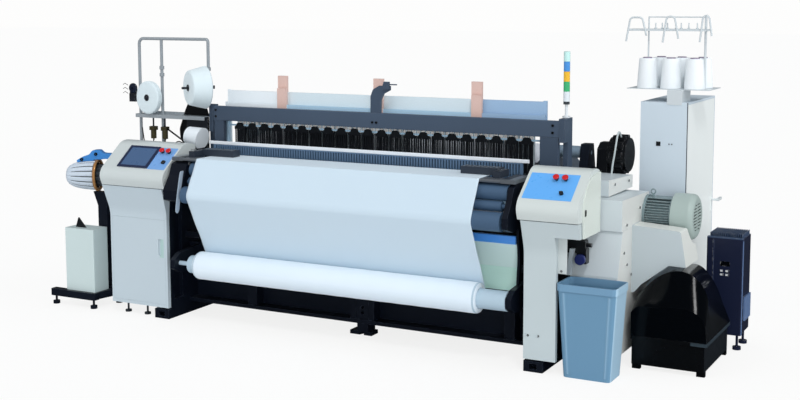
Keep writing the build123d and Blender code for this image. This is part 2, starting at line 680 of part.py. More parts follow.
def head_profile(x):
    """A control head: rounded nose, slanted panel, crest and straight back."""
    bottom = HEAD_SEAM + SEAM_GAP
    front = HEAD_NOSE + 20
    edges = [Line((HEAD_BACK, bottom), (front, bottom)),
             Spline((front, bottom), (HEAD_NOSE, NOSE_UP), PANEL_FOOT,
                    tangents=((-0.42, 1), (PANEL_TOP[0] - PANEL_FOOT[0], PANEL_TOP[1] - PANEL_FOOT[1]))),
             Line(PANEL_FOOT, PANEL_TOP),
             Spline(PANEL_TOP, HEAD_PEAK, (HEAD_BACK, HEAD_PEAK[1] - HEAD_DROP),
                    tangents=((PANEL_TOP[0] - PANEL_FOOT[0], PANEL_TOP[1] - PANEL_FOOT[1]), (1, -0.5))),
             Line((HEAD_BACK, HEAD_PEAK[1] - HEAD_DROP), (HEAD_BACK, bottom))]
    return extrude(Plane.YZ.offset(min(x)) * make_face(edges), amount=abs(x[1] - x[0]))


def on_panel(x, up, out=0.0):
    """A place on the slanted panel: along X, up the slope, and out from it."""
    run = PANEL_TOP[0] - PANEL_FOOT[0]
    rise = PANEL_TOP[1] - PANEL_FOOT[1]
    length = hypot(run, rise)
    cosine, sine = run / length, rise / length
    return (x, PANEL_FOOT[0] + up * cosine - out * sine, PANEL_FOOT[1] + up * sine + out * cosine)


def panel_plane(x, up, out=0.0):
    """A plane on the slanted panel whose normal points out of it."""
    tilt = degrees(atan2(PANEL_TOP[1] - PANEL_FOOT[1], PANEL_TOP[0] - PANEL_FOOT[0]))
    return Pos(*on_panel(x, up, out)) * Rot(tilt, 0, 0)


def panel_plate(x, up, out):
    """A thin rounded plate lying on the slanted panel, between limits."""
    middle = panel_plane((x[0] + x[1]) / 2, (up[0] + up[1]) / 2, (out[0] + out[1]) / 2)
    plate = Box(abs(x[1] - x[0]), abs(up[1] - up[0]), abs(out[1] - out[0]))
    return middle * fillet(plate.edges().filter_by(Axis.Z), 3)


def left_cabinet():
    """The folded sheet cover of the left console: deep beside the frame, a shallow lip in front of it."""
    x = LEFT_X
    wide = (x[0] - FLARE, x[1] + FLARE)
    outline = [(x[0], COVER_BOTTOM - 1), (x[1], COVER_BOTTOM - 1), (x[1], FLARE_FROM),
               (wide[1], HEAD_SEAM + 1), (wide[0], HEAD_SEAM + 1), (x[0], FLARE_FROM)]
    body = cover_profile(wide) & front_view(outline, (HEAD_NOSE - 10, COVER_BACK + 1))
    frame_side = -OUTER - SIDE_GAP
    body -= block((frame_side, wide[1] + 1), (COVER_LIP, COVER_BACK + 1), (COVER_BOTTOM - 1, HEAD_SEAM + 1))
    body -= block((x[0] + SHEET, frame_side - SHEET), (SHEET, COVER_BACK - SHEET),
                  (COVER_BOTTOM + SHEET, HEAD_SEAM - SHEET))
    opening = block((LEFT_DOOR_X[0] - GAP, LEFT_DOOR_X[1] + GAP), (-1, DOOR_THICK + GAP),
                    (LEFT_DOOR_Z[0] - GAP, LEFT_DOOR_Z[1] + GAP))
    return group(body - opening, *levelling_feet())


def left_cabinet_door():
    """The service door, with a vertical finger recess near its free edge."""
    leaf = block(LEFT_DOOR_X, (0, DOOR_THICK), LEFT_DOOR_Z)
    recess = block((-1376, -1350), (-1, 9), (440, 552))
    return leaf - fillet(recess.edges().filter_by(Axis.Y), 8)


def left_head():
    """The left control head, bored for its buttons."""
    head = head_profile(LEFT_HEAD_X)
    for place in LEFT_BUTTONS:
        head -= panel_plane(*place, -STEM_DEPTH / 2) * Cylinder(STEM_RADIUS + RUN, STEM_DEPTH + 12)
    key = panel_plane(*LEFT_KEY, -6) * Box(KEY_WIDE + 2 * RUN, KEY_WIDE + 2 * RUN, 24)
    return head - key


def left_panel():
    """The framed screen and the blue key plate beside it."""
    frame = panel_plate((-1680, -1421), (2, 208), (0, 7))
    frame -= panel_plate(SCREEN_X, SCREEN_UP, (4, 8))
    glass = panel_plate((SCREEN_X[0] + RUN, SCREEN_X[1] - RUN), (SCREEN_UP[0] + RUN, SCREEN_UP[1] - RUN), (4, 5.5))
    plate = panel_plate((-1420, -1276), (0, 206), (0, PLATE_THICK))
    for place in LEFT_BUTTONS:
        plate -= panel_plane(*place) * Cylinder(STEM_RADIUS + RUN, 10)
    plate -= panel_plane(*LEFT_KEY) * Box(KEY_WIDE + 2 * RUN, KEY_WIDE + 2 * RUN, 10)
    return group(frame, glass, plate)


def push_button(place, collar):
    """A mushroom-headed push button on its stem, with the plate below it."""
    at = panel_plane(*place, 0)
    stem = Pos(0, 0, -STEM_DEPTH / 2 + 8) * Cylinder(STEM_RADIUS, STEM_DEPTH + 16)
    head = Pos(0, 0, 26) * Cylinder(BUTTON_RADIUS, 12)
    head = fillet(head.edges().filter_by(GeomType.CIRCLE), 5)
    neck = Pos(0, 0, 15) * Cylinder(collar, 12)
    return at * (stem + neck + head)


def mode_key():
    """The square four-way key of the left plate."""
    key = Box(KEY_WIDE, KEY_WIDE, 22)
    key = fillet(key.edges().filter_by(Axis.Z), 4)
    return panel_plane(*LEFT_KEY, 0) * Pos(0, 0, 1) * key


def selector_knob():
    """The small black selector knob of the right plate."""
    at = panel_plane(*RIGHT_KNOB, 0)
    stem = Pos(0, 0, -STEM_DEPTH / 2 + 4) * Cylinder(KNOB_STEM, STEM_DEPTH + 8)
    cap = Pos(0, 0, 11) * Cylinder(12, 14)
    grip = Pos(0, 0, 20) * Box(22, 6, 8)
    return at * (stem + cap + grip)


def right_leg_cover():
    """The right leg cover: a shallow front before the frame, and the arm under the head."""
    x = RIGHT_LEG_X
    leg = cover_profile(x) & block(x, (HEAD_NOSE - 5, COVER_LIP), (COVER_BOTTOM, HEAD_SEAM))
    upper = cover_profile((x[1] - SHEET, RIGHT_HEAD_X[1] - SHEET))
    upper &= block((x[1] - SHEET, RIGHT_HEAD_X[1]), (HEAD_NOSE - 5, COVER_BACK + 5),
                   (END_COVER_FOOT, HEAD_SEAM + 1))
    cover = leg + upper
    for place in (1313, 1387):
        cover += rod("y", (place, -2, 222), 6, 6)
    return cover


def right_head():
    """The right control head, bored for its controls, with the round-edged end cover."""
    head = head_profile(RIGHT_HEAD_X)
    for place in RIGHT_BUTTONS:
        head -= panel_plane(*place, -STEM_DEPTH / 2) * Cylinder(STEM_RADIUS + RUN, STEM_DEPTH + 12)
    head -= panel_plane(*RIGHT_KNOB, -STEM_DEPTH / 2) * Cylinder(KNOB_STEM + RUN, STEM_DEPTH + 12)
    foot = END_COVER_FOOT
    nose = (-12, HEAD_SEAM + 53)
    crest = HEAD_PEAK[1] - HEAD_DROP
    outline = [Line((HEAD_BACK, foot), (0, foot)), Line((0, foot), nose),
               Spline(nose, (90, HEAD_SEAM + 221), (HEAD_BACK - 5, crest - 6), tangents=((0.1, 1), (1, 0.0))),
               Line((HEAD_BACK - 5, crest - 6), (HEAD_BACK, crest - 10)),
               Line((HEAD_BACK, crest - 10), (HEAD_BACK, foot))]
    end = extrude(Plane.YZ.offset(RIGHT_HEAD_X[1]) * make_face(outline), amount=9)
    slot = block((RIGHT_HEAD_X[1] + 4, RIGHT_HEAD_X[1] + 10), (14, 30), (HEAD_SEAM + 37, HEAD_SEAM + 75))
    end -= fillet(slot.edges().filter_by(Axis.X), 7)
    return group(head, end)


def right_key_plate():
    """The blue plate of the right head."""
    plate = panel_plate((1304, 1603), (-4, 204), (0, PLATE_THICK))
    for place in RIGHT_BUTTONS:
        plate -= panel_plane(*place) * Cylinder(STEM_RADIUS + RUN, 10)
    return plate - panel_plane(*RIGHT_KNOB) * Cylinder(KNOB_STEM + RUN, 10)


def inner_panel():
    """The pale folded guard behind the cloth with its blue upper strip and end lugs."""
    x = (-GUARD_LEFT, SLEY_X)
    thick = 4.0
    guard = side_view([GUARD_FOOT, GUARD_FOLD, GUARD_TOP, (GUARD_TOP[0] + thick, GUARD_TOP[1] + 2),
                       (GUARD_FOLD[0] + thick, GUARD_FOLD[1]), (GUARD_FOOT[0] + thick, GUARD_FOOT[1])], x)
    strip = block(x, (GUARD_TOP[0] - 20, GUARD_TOP[0] + 6), (GUARD_TOP[1] + 2, GUARD_TOP[1] + 50))
    lugs = []
    for reach in ((-HALF, x[0]), (x[1], HALF)):
        lugs.append(block(reach, (GUARD_FOOT[0], GUARD_FOLD[0] + 10), (GUARD_FOLD[1] - 20, GUARD_FOLD[1] + 20)))
    return group(guard, strip, *lugs)


def levelling_feet():
    """The screw feet under the left console."""
    shapes = []
    for x in (-1700, -1530):
        shapes.append(bar_z(x, 60, (0, 14), 22) + bar_z(x, 60, (14, COVER_BOTTOM), 7))
    return shapes


# Release lever of the press roller
def release_lever():
    """The bright lever outside the left roller arm that lifts the press roller."""
    y, z = LEVER_AT
    x = (-ARM_OUT - 12, -ARM_OUT - RUN)
    arm = side_view([(y - 9, z), (y + 9, z), (y + 7, z + 120), (y - 7, z + 120)], x)
    arm += bar_x(x, y, z, 14)
    arm += bar_x(x, y, z + 124, 15)
    arm += side_view([(y - 6, z), (y + 6, z), (y - 2, z - 96), (y - 14, z - 96)], x)
    arm += bar_x(x, y - 8, z - 98, 11)
    return arm + bar_x((x[1] - 1, -ARM_OUT + 20), y, z, LEVER_PIN)


# Right-hand covers and drive
def gear_covers():
    """The three sheet covers over the right gear side, stepped down towards the floor."""
    side = GEAR_COVER_X
    upper = side_view([(400, 1004), (400, 1102), (871, 1080), (871, 1004)], (OUTER, 1676))
    middle = side_view([(300, 819), (300, 1003), (832, 989), (832, 819)], (OUTER, side))
    upper -= middle
    lower = side_view([(232, 80), (232, 560), (318, 818), (820, 818), (820, 80)],
                      (RIGHT_LEG_X[1] + 2, side))
    lower += side_view([(236, 560), (322, 818), (820, 818), (820, 560)], (OUTER, RIGHT_LEG_X[1] + 2))
    for y, z in ((373, 849), (627, 917)):
        middle += rod("x", (side + 2, y, z), 7, 8)
    for y, z in ((330, 690), (390, 610)):
        lower += rod("x", (side + 2, y, z), 7, 8)
    upper += rod("x", (1678, 498, 1067), 7, 8)
    return group(upper, middle, lower)


def belt_cover():
    """The tapered belt cover: its lower edge follows the black unit, its back clears the motor."""
    x = GEAR_COVER_X
    cover = front_view([(x, 830), (x, 420), (x + 19, 425), (x + 60, 474), (x + 226, 604), (x + 328, 600),
                        (x + 294, 806), (x + 285, 812)], BELT_COVER_Y)
    return cover - bar_x((x - 1, COWL_X[1]), MOTOR[0], MOTOR[1], COWL_RADIUS + 22)


def motor_housing():
    """The finned motor casing with its flange, terminal box, eye bolt and feet."""
    y, z, radius = MOTOR
    casing = bar_x(MOTOR_X, y, z, radius - 20)
    casing += bar_x((MOTOR_X[0], MOTOR_X[0] + 16), y, z, radius)
    casing += bar_x((MOTOR_X[1] - 14, MOTOR_X[1]), y, z, radius)
    for index in range(-7, 8):
        height = index * 15.0
        half = (radius ** 2 - height ** 2) ** 0.5
        casing += block((MOTOR_X[0] + 16, MOTOR_X[1] - 14), (y - half, y + half), (z + height - 2, z + height + 2))
    for side in (-1, 1):
        casing += block((MOTOR_X[0] + 30, MOTOR_X[1] - 30), (y + side * 60 - 18, y + side * 60 + 18),
                        (z - radius - 18, z - 70))
    casing -= bar_x((MOTOR_X[0] - 1, MOTOR_X[1] + 1), y, z, 14 + RUN)
    eye = Pos(MOTOR_X[0] + 40, y - 8, z + radius + 22) * Rot(90, 0, 20) * Torus(14, 4)
    eye += bar_z(MOTOR_X[0] + 40, y - 8, (z + radius - 12, z + radius + 8), 7)
    return group(casing + eye, fan_cowl())


def fan_cowl():
    """The domed fan cowl with its ring of air slots."""
    y, z, radius = MOTOR
    shell = bar_x(COWL_X, y, z, COWL_RADIUS)
    shell = fillet(shell.edges().filter_by(GeomType.CIRCLE).sort_by(Axis.X)[-1], 34)
    inner = bar_x((COWL_X[0] + 6, COWL_X[1] - 6), y, z, COWL_RADIUS - 6)
    inner = fillet(inner.edges().filter_by(GeomType.CIRCLE).sort_by(Axis.X)[-1], 30)
    shell -= inner
    shell -= bar_x((COWL_X[0] - 1, COWL_X[0] + 7), y, z, 100)
    slots = []
    for row in range(-4, 5):
        height = row * 19.0
        half = (94.0 ** 2 - height ** 2) ** 0.5
        slots.append(block((COWL_X[1] - 8, COWL_X[1] + 1), (y - half, y - 6), (z + height - 4, z + height + 4)))
        slots.append(block((COWL_X[1] - 8, COWL_X[1] + 1), (y + 6, y + half), (z + height - 4, z + height + 4)))
    return shell - slots


def motor_rotor():
    """The motor shaft with the cooling fan behind the cowl."""
    y, z, radius = MOTOR
    shaft = bar_x((MOTOR_X[0] + 1, COWL_X[1] - 22), y, z, 14)
    fan = bar_x((COWL_X[0] + 30, COWL_X[0] + 36), y, z, 92)
    fan += bar_x((COWL_X[0] + 20, COWL_X[1] - 24), y, z, 26)
    for index in range(8):
        blade = block((COWL_X[0] + 36, COWL_X[0] + 84), (y + 20, y + 104), (z - 2, z + 2))
        fan += Pos(0, y, z) * Rot(45 * index, 0, 0) * Pos(0, -y, -z) * blade
    return shaft + fan


def cabinet():
    """The tall control cabinet, open to the right where its door closes it."""
    body = block(CABINET_X, CABINET_Y, (40, CABINET_TOP))
    body -= block((CABINET_X[0] + 40, CABINET_X[1] + 1), (CABINET_Y[0] + 34, CABINET_Y[1] - 34),
                  (84, CABINET_TOP - 44))
    rebate = block((CABINET_X[1] - 22, CABINET_X[1] + 1), (CABINET_Y[0] + 14, CABINET_Y[1] - 14),
                   (60, CABINET_TOP - 14))
    body -= rebate
    for x in (CABINET_X[0] + 50, CABINET_X[1] - 50):
        for y in (CABINET_Y[0] + 60, CABINET_Y[1] - 60):
            body += bar_z(x, y, (0, 40), 24)
    x, z = CABINET_SWITCH
    body += block((x - 14, x + 14), (CABINET_Y[0] - 3, CABINET_Y[0]), (z - 14, z + 14))
    for away in (68, 86):
        body += rod("y", (x + away, CABINET_Y[0] - 1, z), 4, 4)
    return body


def cabinet_door():
    """The cabinet door in its rebate, with the bore of the handle."""
    leaf = block(CABINET_DOOR_X, CABINET_DOOR_Y, CABINET_DOOR_Z)
    plate = block((CABINET_X[1], CABINET_X[1] + 4), (HANDLE_AT[0] - 11, HANDLE_AT[0] + 11),
                  (HANDLE_AT[1] - 80, HANDLE_AT[1] + 18))
    leaf += fillet(plate.edges().filter_by(Axis.X), 8)
    return leaf - bar_x((CABINET_X[1] - 22, CABINET_X[1] + 5), HANDLE_AT[0], HANDLE_AT[1], HANDLE_SPINDLE + RUN)


def cabinet_handle():
    """The bright lever handle of the cabinet door."""
    y, z = HANDLE_AT
    spindle = bar_x((CABINET_X[1] - 20, CABINET_X[1] + 52), y, z, HANDLE_SPINDLE)
    lever = block((CABINET_X[1] + 38, CABINET_X[1] + 52), (y - 10, y + 92), (z - 9, z + 9))
    return spindle + fillet(lever.edges().filter_by(Axis.X), 6)


def inverter():
    """The navy drive unit with its cooling fins, keypad and screw feet."""
    front = block((DRIVE_X[0], DRIVE_X[1]), (DRIVE_Y[0], DRIVE_Y[0] + 40), DRIVE_Z)
    front = fillet(front.edges().filter_by(Axis.Z), 8)
    front -= block((DRIVE_X[0] + 38, DRIVE_X[0] + 44), (DRIVE_Y[0] - 1, DRIVE_Y[0] + 3), DRIVE_Z)
    unit = front + block((DRIVE_X[0] + 4, DRIVE_X[1] - 4), (DRIVE_Y[0] + 40, DRIVE_Y[1]),
                         (DRIVE_Z[0] + 4, DRIVE_Z[1] - 6))
    top = DRIVE_Z[1] - 6
    for index in range(16):
        x = DRIVE_X[0] + 10 + index * (DRIVE_X[1] - DRIVE_X[0] - 26) / 15
        unit += block((x, x + 5), (DRIVE_Y[0] + 44, DRIVE_Y[1] - 4), (top, top + 26))
    pad = (DRIVE_X[0] + 87, DRIVE_Z[1] - 238)
    unit -= block((pad[0], pad[0] + 57), (DRIVE_Y[0] - 1, DRIVE_Y[0] + 3), (pad[1] + 60, pad[1] + 88))
    for x in (pad[0], pad[0] + 33):
        for z in (pad[1], pad[1] + 24):
            unit += block((x, x + 22), (DRIVE_Y[0] - 3, DRIVE_Y[0]), (z, z + 14))
    unit += block((DRIVE_X[1] - 4, DRIVE_X[1] + 10), (DRIVE_Y[0] + 60, DRIVE_Y[1] - 20), (180, 330))
    for x in (DRIVE_X[0] + 30, DRIVE_X[1] - 30):
        for y in (DRIVE_Y[0] + 40, DRIVE_Y[1] - 30):
            unit += bar_z(x, y, (0, 20), 26) + bar_z(x, y, (20, DRIVE_Z[0] + 5), 8)
    return unit


def dobby_outline(points):
    """A section of the black unit: a curved top between ends that stand on the base."""
    left, right = (DOBBY_X[0], DOBBY_SPLIT), (DOBBY_X[1], DOBBY_SPLIT)
    return make_face([Line(left, points[0]), Spline(*points), Line(points[-1], right), Line(right, left)])


def dobby_cover():
    """The glossy black cover of the shedding unit: a low front that swells back into a hood."""
    sections = []
    for y, points in zip(DOBBY_Y, (DOBBY_FRONT, DOBBY_RIDGE, DOBBY_REAR)):
        sections.append(Plane.XZ.offset(-y) * dobby_outline(points))
    return loft(sections, ruled=True)


def dobby_base():
    """The low base of the shedding unit with its trim strip and feet."""
    front, back = DOBBY_Y[0], DOBBY_Y[2]
    trim = DOBBY_SPLIT - 22
    base = block((DOBBY_X[0] + 4, DOBBY_X[1] - 14), (front + 14, back - 8), (30, trim))
    base += block(DOBBY_X, (front + 4, back), (trim, DOBBY_SPLIT))
    for x in (DOBBY_X[0] + 28, DOBBY_X[1] - 38):
        for y in (front + 42, back - 25):
            base += block((x - 24, x + 24), (y - 16, y + 16), (0, 30))
    return base


def let_off_drive():
    """The let-off gear case and its lobed black motor cover on the right frame."""
    y, z = BACK_REST[0], BACK_REST[1]
    case = side_view([(y - 110, 1010), (y - 90, 1225), (y - 30, 1262), (y + 40, 1262),
                      (y + 100, 1200), (y + 110, 1010)], (OUTER + 6, OUTER + 76))
    motor = bar_x((OUTER + 76, OUTER + 194), y, z, 108)
    for index in range(10):
        angle = radians(36 * index)
        motor += bar_x((OUTER + 96, OUTER + 176), y + 104 * cos(angle), z + 104 * sin(angle), 26)
    seat = block((OUTER, OUTER + 6), (y - 80, y + 80), (900, 1000))
    seat += block((OUTER, OUTER + 40), (y - 80, y + 60), (930, 1012))
    return joined(case, motor, seat)


# Signal tower
def signal_tower():
    """The white pole with its foot and the dark collar under the lamps."""
    x, y = TOWER
    pole = bar_z(x, y, (TOWER_FOOT, 1528), 9) + bar_z(x, y, (TOWER_FOOT, TOWER_FOOT + 10), 24)
    collar = bar_z(x, y, (1528, 1546), TOWER_RADIUS)
    return group(pole + collar, *signal_lamps())


def signal_lamps():
    """Five stacked lamp lenses: white, green, amber, blue and clear with a domed top."""
    x, y = TOWER
    lenses = []
    for index in range(5):
        low = 1546 + index * LAMP_HEIGHT
        lens = bar_z(x, y, (low, low + LAMP_HEIGHT - 2), TOWER_RADIUS)
        lens += bar_z(x, y, (low + LAMP_HEIGHT - 2, low + LAMP_HEIGHT), TOWER_RADIUS - 1.5)
        if index == 4:
            lens = fillet(lens.edges().filter_by(GeomType.CIRCLE).sort_by(Axis.Z)[-1], 1.4)
        lenses.append(lens)
    return lenses


# Bin
def rounded_slab(size, corner, low, height, place):
    """An upright slab with rounded corners, at a place and height."""
    return extrude(Plane.XY.offset(low) * Pos(*place) * RectangleRounded(*size, corner), amount=height)


def tapered(foot_size, rim_size, corners, low):
    """A tapered body between a foot and a rim outline."""
    foot = Plane.XY.offset(low) * Pos(*BIN_FOOT_AT) * RectangleRounded(*foot_size, corners[0])
    rim = Plane.XY.offset(BIN_TOP - BIN_LIP) * Pos(*BIN_RIM_AT) * RectangleRounded(*rim_size, corners[1])
    return loft([foot, rim])


def inset(size, by):
    """A width and depth made smaller by a wall on every side."""
    return (size[0] - 2 * by, size[1] - 2 * by)


def waste_bin():
    """The tapered waste bin with a turned-down rim."""
    seam = BIN_TOP - BIN_LIP
    outer = tapered(BIN_FOOT, BIN_RIM, (26, 30), 0)
    hollow = tapered(inset(BIN_FOOT, BIN_WALL), inset(BIN_RIM, BIN_WALL), (22, 26), BIN_WALL)
    lip = rounded_slab(inset(BIN_RIM, -6), 34, seam, BIN_LIP, BIN_RIM_AT)
    under = rounded_slab(inset(BIN_RIM, -2.5), 31, seam - 1, 33, BIN_RIM_AT)
    collar = rounded_slab(BIN_RIM, 30, seam, BIN_LIP, BIN_RIM_AT)
    mouth = rounded_slab(inset(BIN_RIM, BIN_WALL), 26, seam, BIN_LIP + 1, BIN_RIM_AT)
    return (lip - under) + outer + collar - hollow - mouth


# Selvedge waste unit
def selvedge_wheel():
    """The blue handwheel of the selvedge waste unit, on its shaft."""
    x, y, z = WHEEL_AT
    wheel = bar_y(x, (y - 34, y - 6), z, 32)
    wheel = fillet(wheel.edges().filter_by(GeomType.CIRCLE), 6)
    return wheel + bar_y(x, (y - 34, y + 30), z, WHEEL_SHAFT)


def selvedge_unit():
    """The black body of the selvedge waste unit with its side knob and grey chute."""
    x, y, z = WHEEL_AT
    body = block((OUTER, x + 24), (y + RUN, y + 50), (z + 30, z + 108))
    body += block((x - 30, x + 30), (y + RUN, y + 50), (z - 30, z + 60))
    body += bar_x((x + 24, x + 54), y + 26, z + 80, 12)
    body -= bar_y(x, (y - 1, y + 31), z, WHEEL_SHAFT + RUN)
    low = BIN_TOP + 16
    chute = front_view([(x - 62, z + 60), (x - 38, z + 60), (x - 58, low), (x - 82, low)], (y - 26, y + RUN))
    return group(body, chute)


# Left-hand units
def feeder_stand():
    """The black floor stand: a wide arm with screw feet, post, box and link to the loom."""
    arm = top_view([(-2345, -20), (-2345, 34), (-1940, 34), (-1940, -20)], (62, 112), 6)
    spur = top_view([(-2000, 30), (-1950, 30), (-1905, 250), (-1955, 260)], (62, 112), 4)
    tail = top_view([(-1960, 240), (-1905, 240), (-1850, 330), (-OUTER, 330), (-OUTER, 390),
                     (-1900, 390)], (82, 132))
    stand = joined(arm, spur, tail)
    for x, y in ((-2318, 7), (-1970, 7), (-1930, 232)):
        stand += bar_z(x, y, (0, 22), 24) + bar_z(x, y, (22, 64), 8)
    post = block((-2090, -2010), (215, 265), (112, 700))
    link = block((-2090, -1930), (215, 265), (62, 112))
    saddle = FEEDER_CENTRE[2] - RING_RADIUS - RUN
    neck = front_view([(-2090, 700), (-2010, 700), (-1996, 760), (-2024, saddle), (-2130, saddle)], (215, 265))
    shelf = block((-2130, -2060), (34, 215), (62, 112))
    stand = joined(stand, link, post, neck, shelf)
    return stand


def feeder_box():
    """The pale electrical box of the feeder with a black bracket on top."""
    box = block((-2222, -1962), (10, 160), (112.0, 562))
    box = fillet(box.edges().filter_by(Axis.Z), 5)
    bracket = front_view([(-2165, 562), (-2075, 562), (-2140, 632)], (60, 72))
    return group(box, bracket)


def feeder_axis():
    """The place and direction of the feeder's winding axis."""
    return Pos(*FEEDER_CENTRE) * Rot(0, 0, FEEDER_YAW) * Rot(0, 90, 0)


def feeder_body():
    """The feeder: domed grey motor end, brass ring, drum and blue top arm."""
    profile = make_face(Polyline((0, -235), (46, -230), (70, -205), (86, -150), (98, -80),
                                 (104, -30), (104, -14), (0, -14), close=True))
    shell = revolve(Plane.XZ * profile, axis=Axis.Z)
    drum = Cylinder(62, 92, align=(Align.CENTER, Align.CENTER, Align.MIN))
    drum = Pos(0, 0, -14) * fillet(drum.edges().filter_by(GeomType.CIRCLE).sort_by(Axis.Z)[-1], 16)
    ring = Pos(0, 0, -6) * (Cylinder(RING_RADIUS, 18) - Cylinder(106, 20))
    spokes = Pos(0, 0, -14) * Cylinder(106, 4)
    body = joined(shell, spokes, drum)
    return group(feeder_axis() * body, feeder_axis() * ring, feeder_arm() - feeder_axis() * body)


def feeder_arm():
    """The blue carrying arm over the feeder with its eyelet tube towards the loom."""
    return Pos(*FEEDER_CENTRE) * Rot(0, 0, FEEDER_YAW) * arm_shape()


def arm_shape():
    """The arm in its own frame: along X, over the top of the feeder."""
    beam = front_view([(-225, 70), (-215, 104), (-60, 150), (20, 172), (60, 196), (92, 196),
                       (110, 168), (230, 150), (240, 120), (100, 122), (60, 128), (10, 120),
                       (-60, 112), (-180, 66)], (-34, 34))
    return beam


def creel_frame():
    """The bent tube frame of the left yarn stand with its clamps and tray."""
    left, middle, right = CREEL_X
    y = CREEL_BACK
    loop = tube_path([(left, y, 1120), (left, y, CREEL_TOP), (right, y, CREEL_TOP), (right, y, END_BRACKET_TOP)],
                     [38, 20], TUBE)
    pole = bar_z(middle, y, (1120, CREEL_TOP - TUBE + 1), TUBE)
    tray = top_view([(left, y - 60), (left, y + 40), (right, y + 40), (right, y - 60)], (1352, 1356))
    tray += block((left, right), (y - 60, y - 57), (1330, 1356))
    tray += block((left, right), (y + 37, y + 40), (1356, 1372))
    foot = block((left - 14, -OUTER), (y - 12, y + 12), (1050, 1121))
    frame = joined(loop, pole, tray, foot, bar_x((left, FLAT_AT[0] + 30), y, FLAT_AT[2], 8))
    for x, z in ((middle, CREEL_CLAMPS[0]), (middle, CREEL_CLAMPS[1]), (right, CREEL_CLAMPS[0])):
        frame += bar_z(x, y, (z - 12, z + 12), TUBE + 6)
    return frame


def spindle_package(centre, yaw, near, far, thick):
    """A wound package on its spindle: near and far radius, turned about Z at its near face."""
    profile = make_face(Polyline((PIN, 0), (26, -2), (near - 8, 0), (near, 6), (far, thick - 8),
                                 (far - 10, thick), (PIN, thick), close=True))
    package = revolve(Plane.XZ * profile, axis=Axis.Z)
    upright = (Align.CENTER, Align.CENTER, Align.MIN)
    hub = Pos(0, 0, -8) * (Cylinder(22, 10, align=upright) - Cylinder(PIN, 10, align=upright))
    at = Pos(*centre) * Rot(0, 0, yaw) * Rot(-90, 0, 0)
    return at * (package + hub)


def flat_package():
    """The flat disc package on the left post."""
    return spindle_package(FLAT_AT, FLAT_YAW, FLAT_RADIUS, FLAT_RADIUS, FLAT_THICK)


def thick_package():
    """The thick tapered package beside the right post."""
    return spindle_package(THICK_AT, THICK_YAW, THICK_RADIUS[0], THICK_RADIUS[1], THICK_LONG)


def spindle(centre, yaw, length, tip):
    """A package spindle with its tip knob."""
    at = Pos(*centre) * Rot(0, 0, yaw) * Rot(-90, 0, 0)
    pin = Pos(0, 0, -tip) * Cylinder(PIN - RUN, length + tip, align=(Align.CENTER, Align.CENTER, Align.MIN))
    return at * pin


def creel_fittings():
    """Spindles, tension head, side panel with its cone and the air regulators."""
    left, middle, right = CREEL_X
    y = CREEL_BACK
    flat_pin = spindle(FLAT_AT, FLAT_YAW, FLAT_THICK + 23.3, 14)
    thick_pin = spindle(THICK_AT, THICK_YAW, THICK_LONG + 40, 48)
    thick_pin += block((right - 12, right + 62), (y - TUBE - 18, y - TUBE), (THICK_AT[2] - 12, THICK_AT[2] + 12))
    head = block((left - 66, left - 11), (y - 46, y + 4), (1440, 1500))
    head += rod("y", (left - 34, y - 30, 1505), 32, 22)
    panel = front_view([(right - 190, 1121), (right - 190, 1352), (right - 10, 1352), (right - 10, 1121)],
                       (y - 10, y - 4))
    cone = Pos(right - 52, y - 96, 1215) * Rot(0, -80, 0) * Cone(78, 62, 120)
    cone += bar_y(right - 52, (y - 60, y - 10), 1215, 8)
    regulators = []
    for x in (middle - 60, middle + 44):
        unit = bar_z(x, y - 34, (1170, 1352), 6) + bar_z(x, y - 34, (1180, 1240), 20)
        regulators.append(unit + block((x - 22, x + 22), (y - 56, y - 12), (1240, 1268)))
    return group(flat_pin, thick_pin, head, panel, cone, regulators[0], regulators[1])


def cone_rack():
    """The yarn stand on the cabinet: bracket, plate, posts, shelf and arched guide tubes."""
    y = RACK_BACK
    x = RACK_BRACKET_X
    front = CABINET_Y[0] - 3
    under = CONE_SEAT - RACK_PLATE
    bracket = block(x, (front, CABINET_Y[0]), (CABINET_TOP - 15, under))
    bracket += block(x, (front, 1200), (under - RACK_PLATE, under))
    for edge in (x[0], x[1] - RACK_PLATE):
        bracket += block((edge, edge + RACK_PLATE), (front, 1200), (CABINET_TOP, under))
    plate = block(RACK_X, (1040, 1335), (under, CONE_SEAT))
    post = bar_z(2033, y, (CONE_SEAT, 2060), 8)
    thin = bar_z(1668, y, (CONE_SEAT, 2060), 5)
    rail = bar_x((1664, 2037), y, 2058, 4)
    shelf = block((1552, 2060), (y - 50, y + 50), (1980, 1983))
    shelf += block((1552, 2060), (y - 50, y - 47), (1970, 1983))
    rack = joined(bracket, plate, post, thin, rail, shelf)
    for x in (1718, 1760, 1794, 1850, 1882, 1930, 1984):
        rack += bar_z(x, y - 20, (1983, 2022), 4) + bar_z(x, y - 20, (1983, 1991), 9)
    arches = (((1536, 1903), (1562, 2056), (1640, 2056), (1668, 1940)),
              ((1774, 1898), (1798, 2062), (1848, 2062), (1874, 1923)),
              ((2010, 1903), (2028, 2068), (2066, 2068), (2084, 1941)))
    front = y - 50 - GUIDE_TUBE
    for points in arches:
        route = [(x, front, z) for x, z in points]
        rack += tube_path(route, [26, 26], GUIDE_TUBE)
        rack += block((points[0][0] + 8, points[0][0] + 40), (front, y - 50), (1972, 1981))
        rack += block((points[3][0] - 30, points[3][0]), (front, y - 50), (1972, 1981))
    return rack


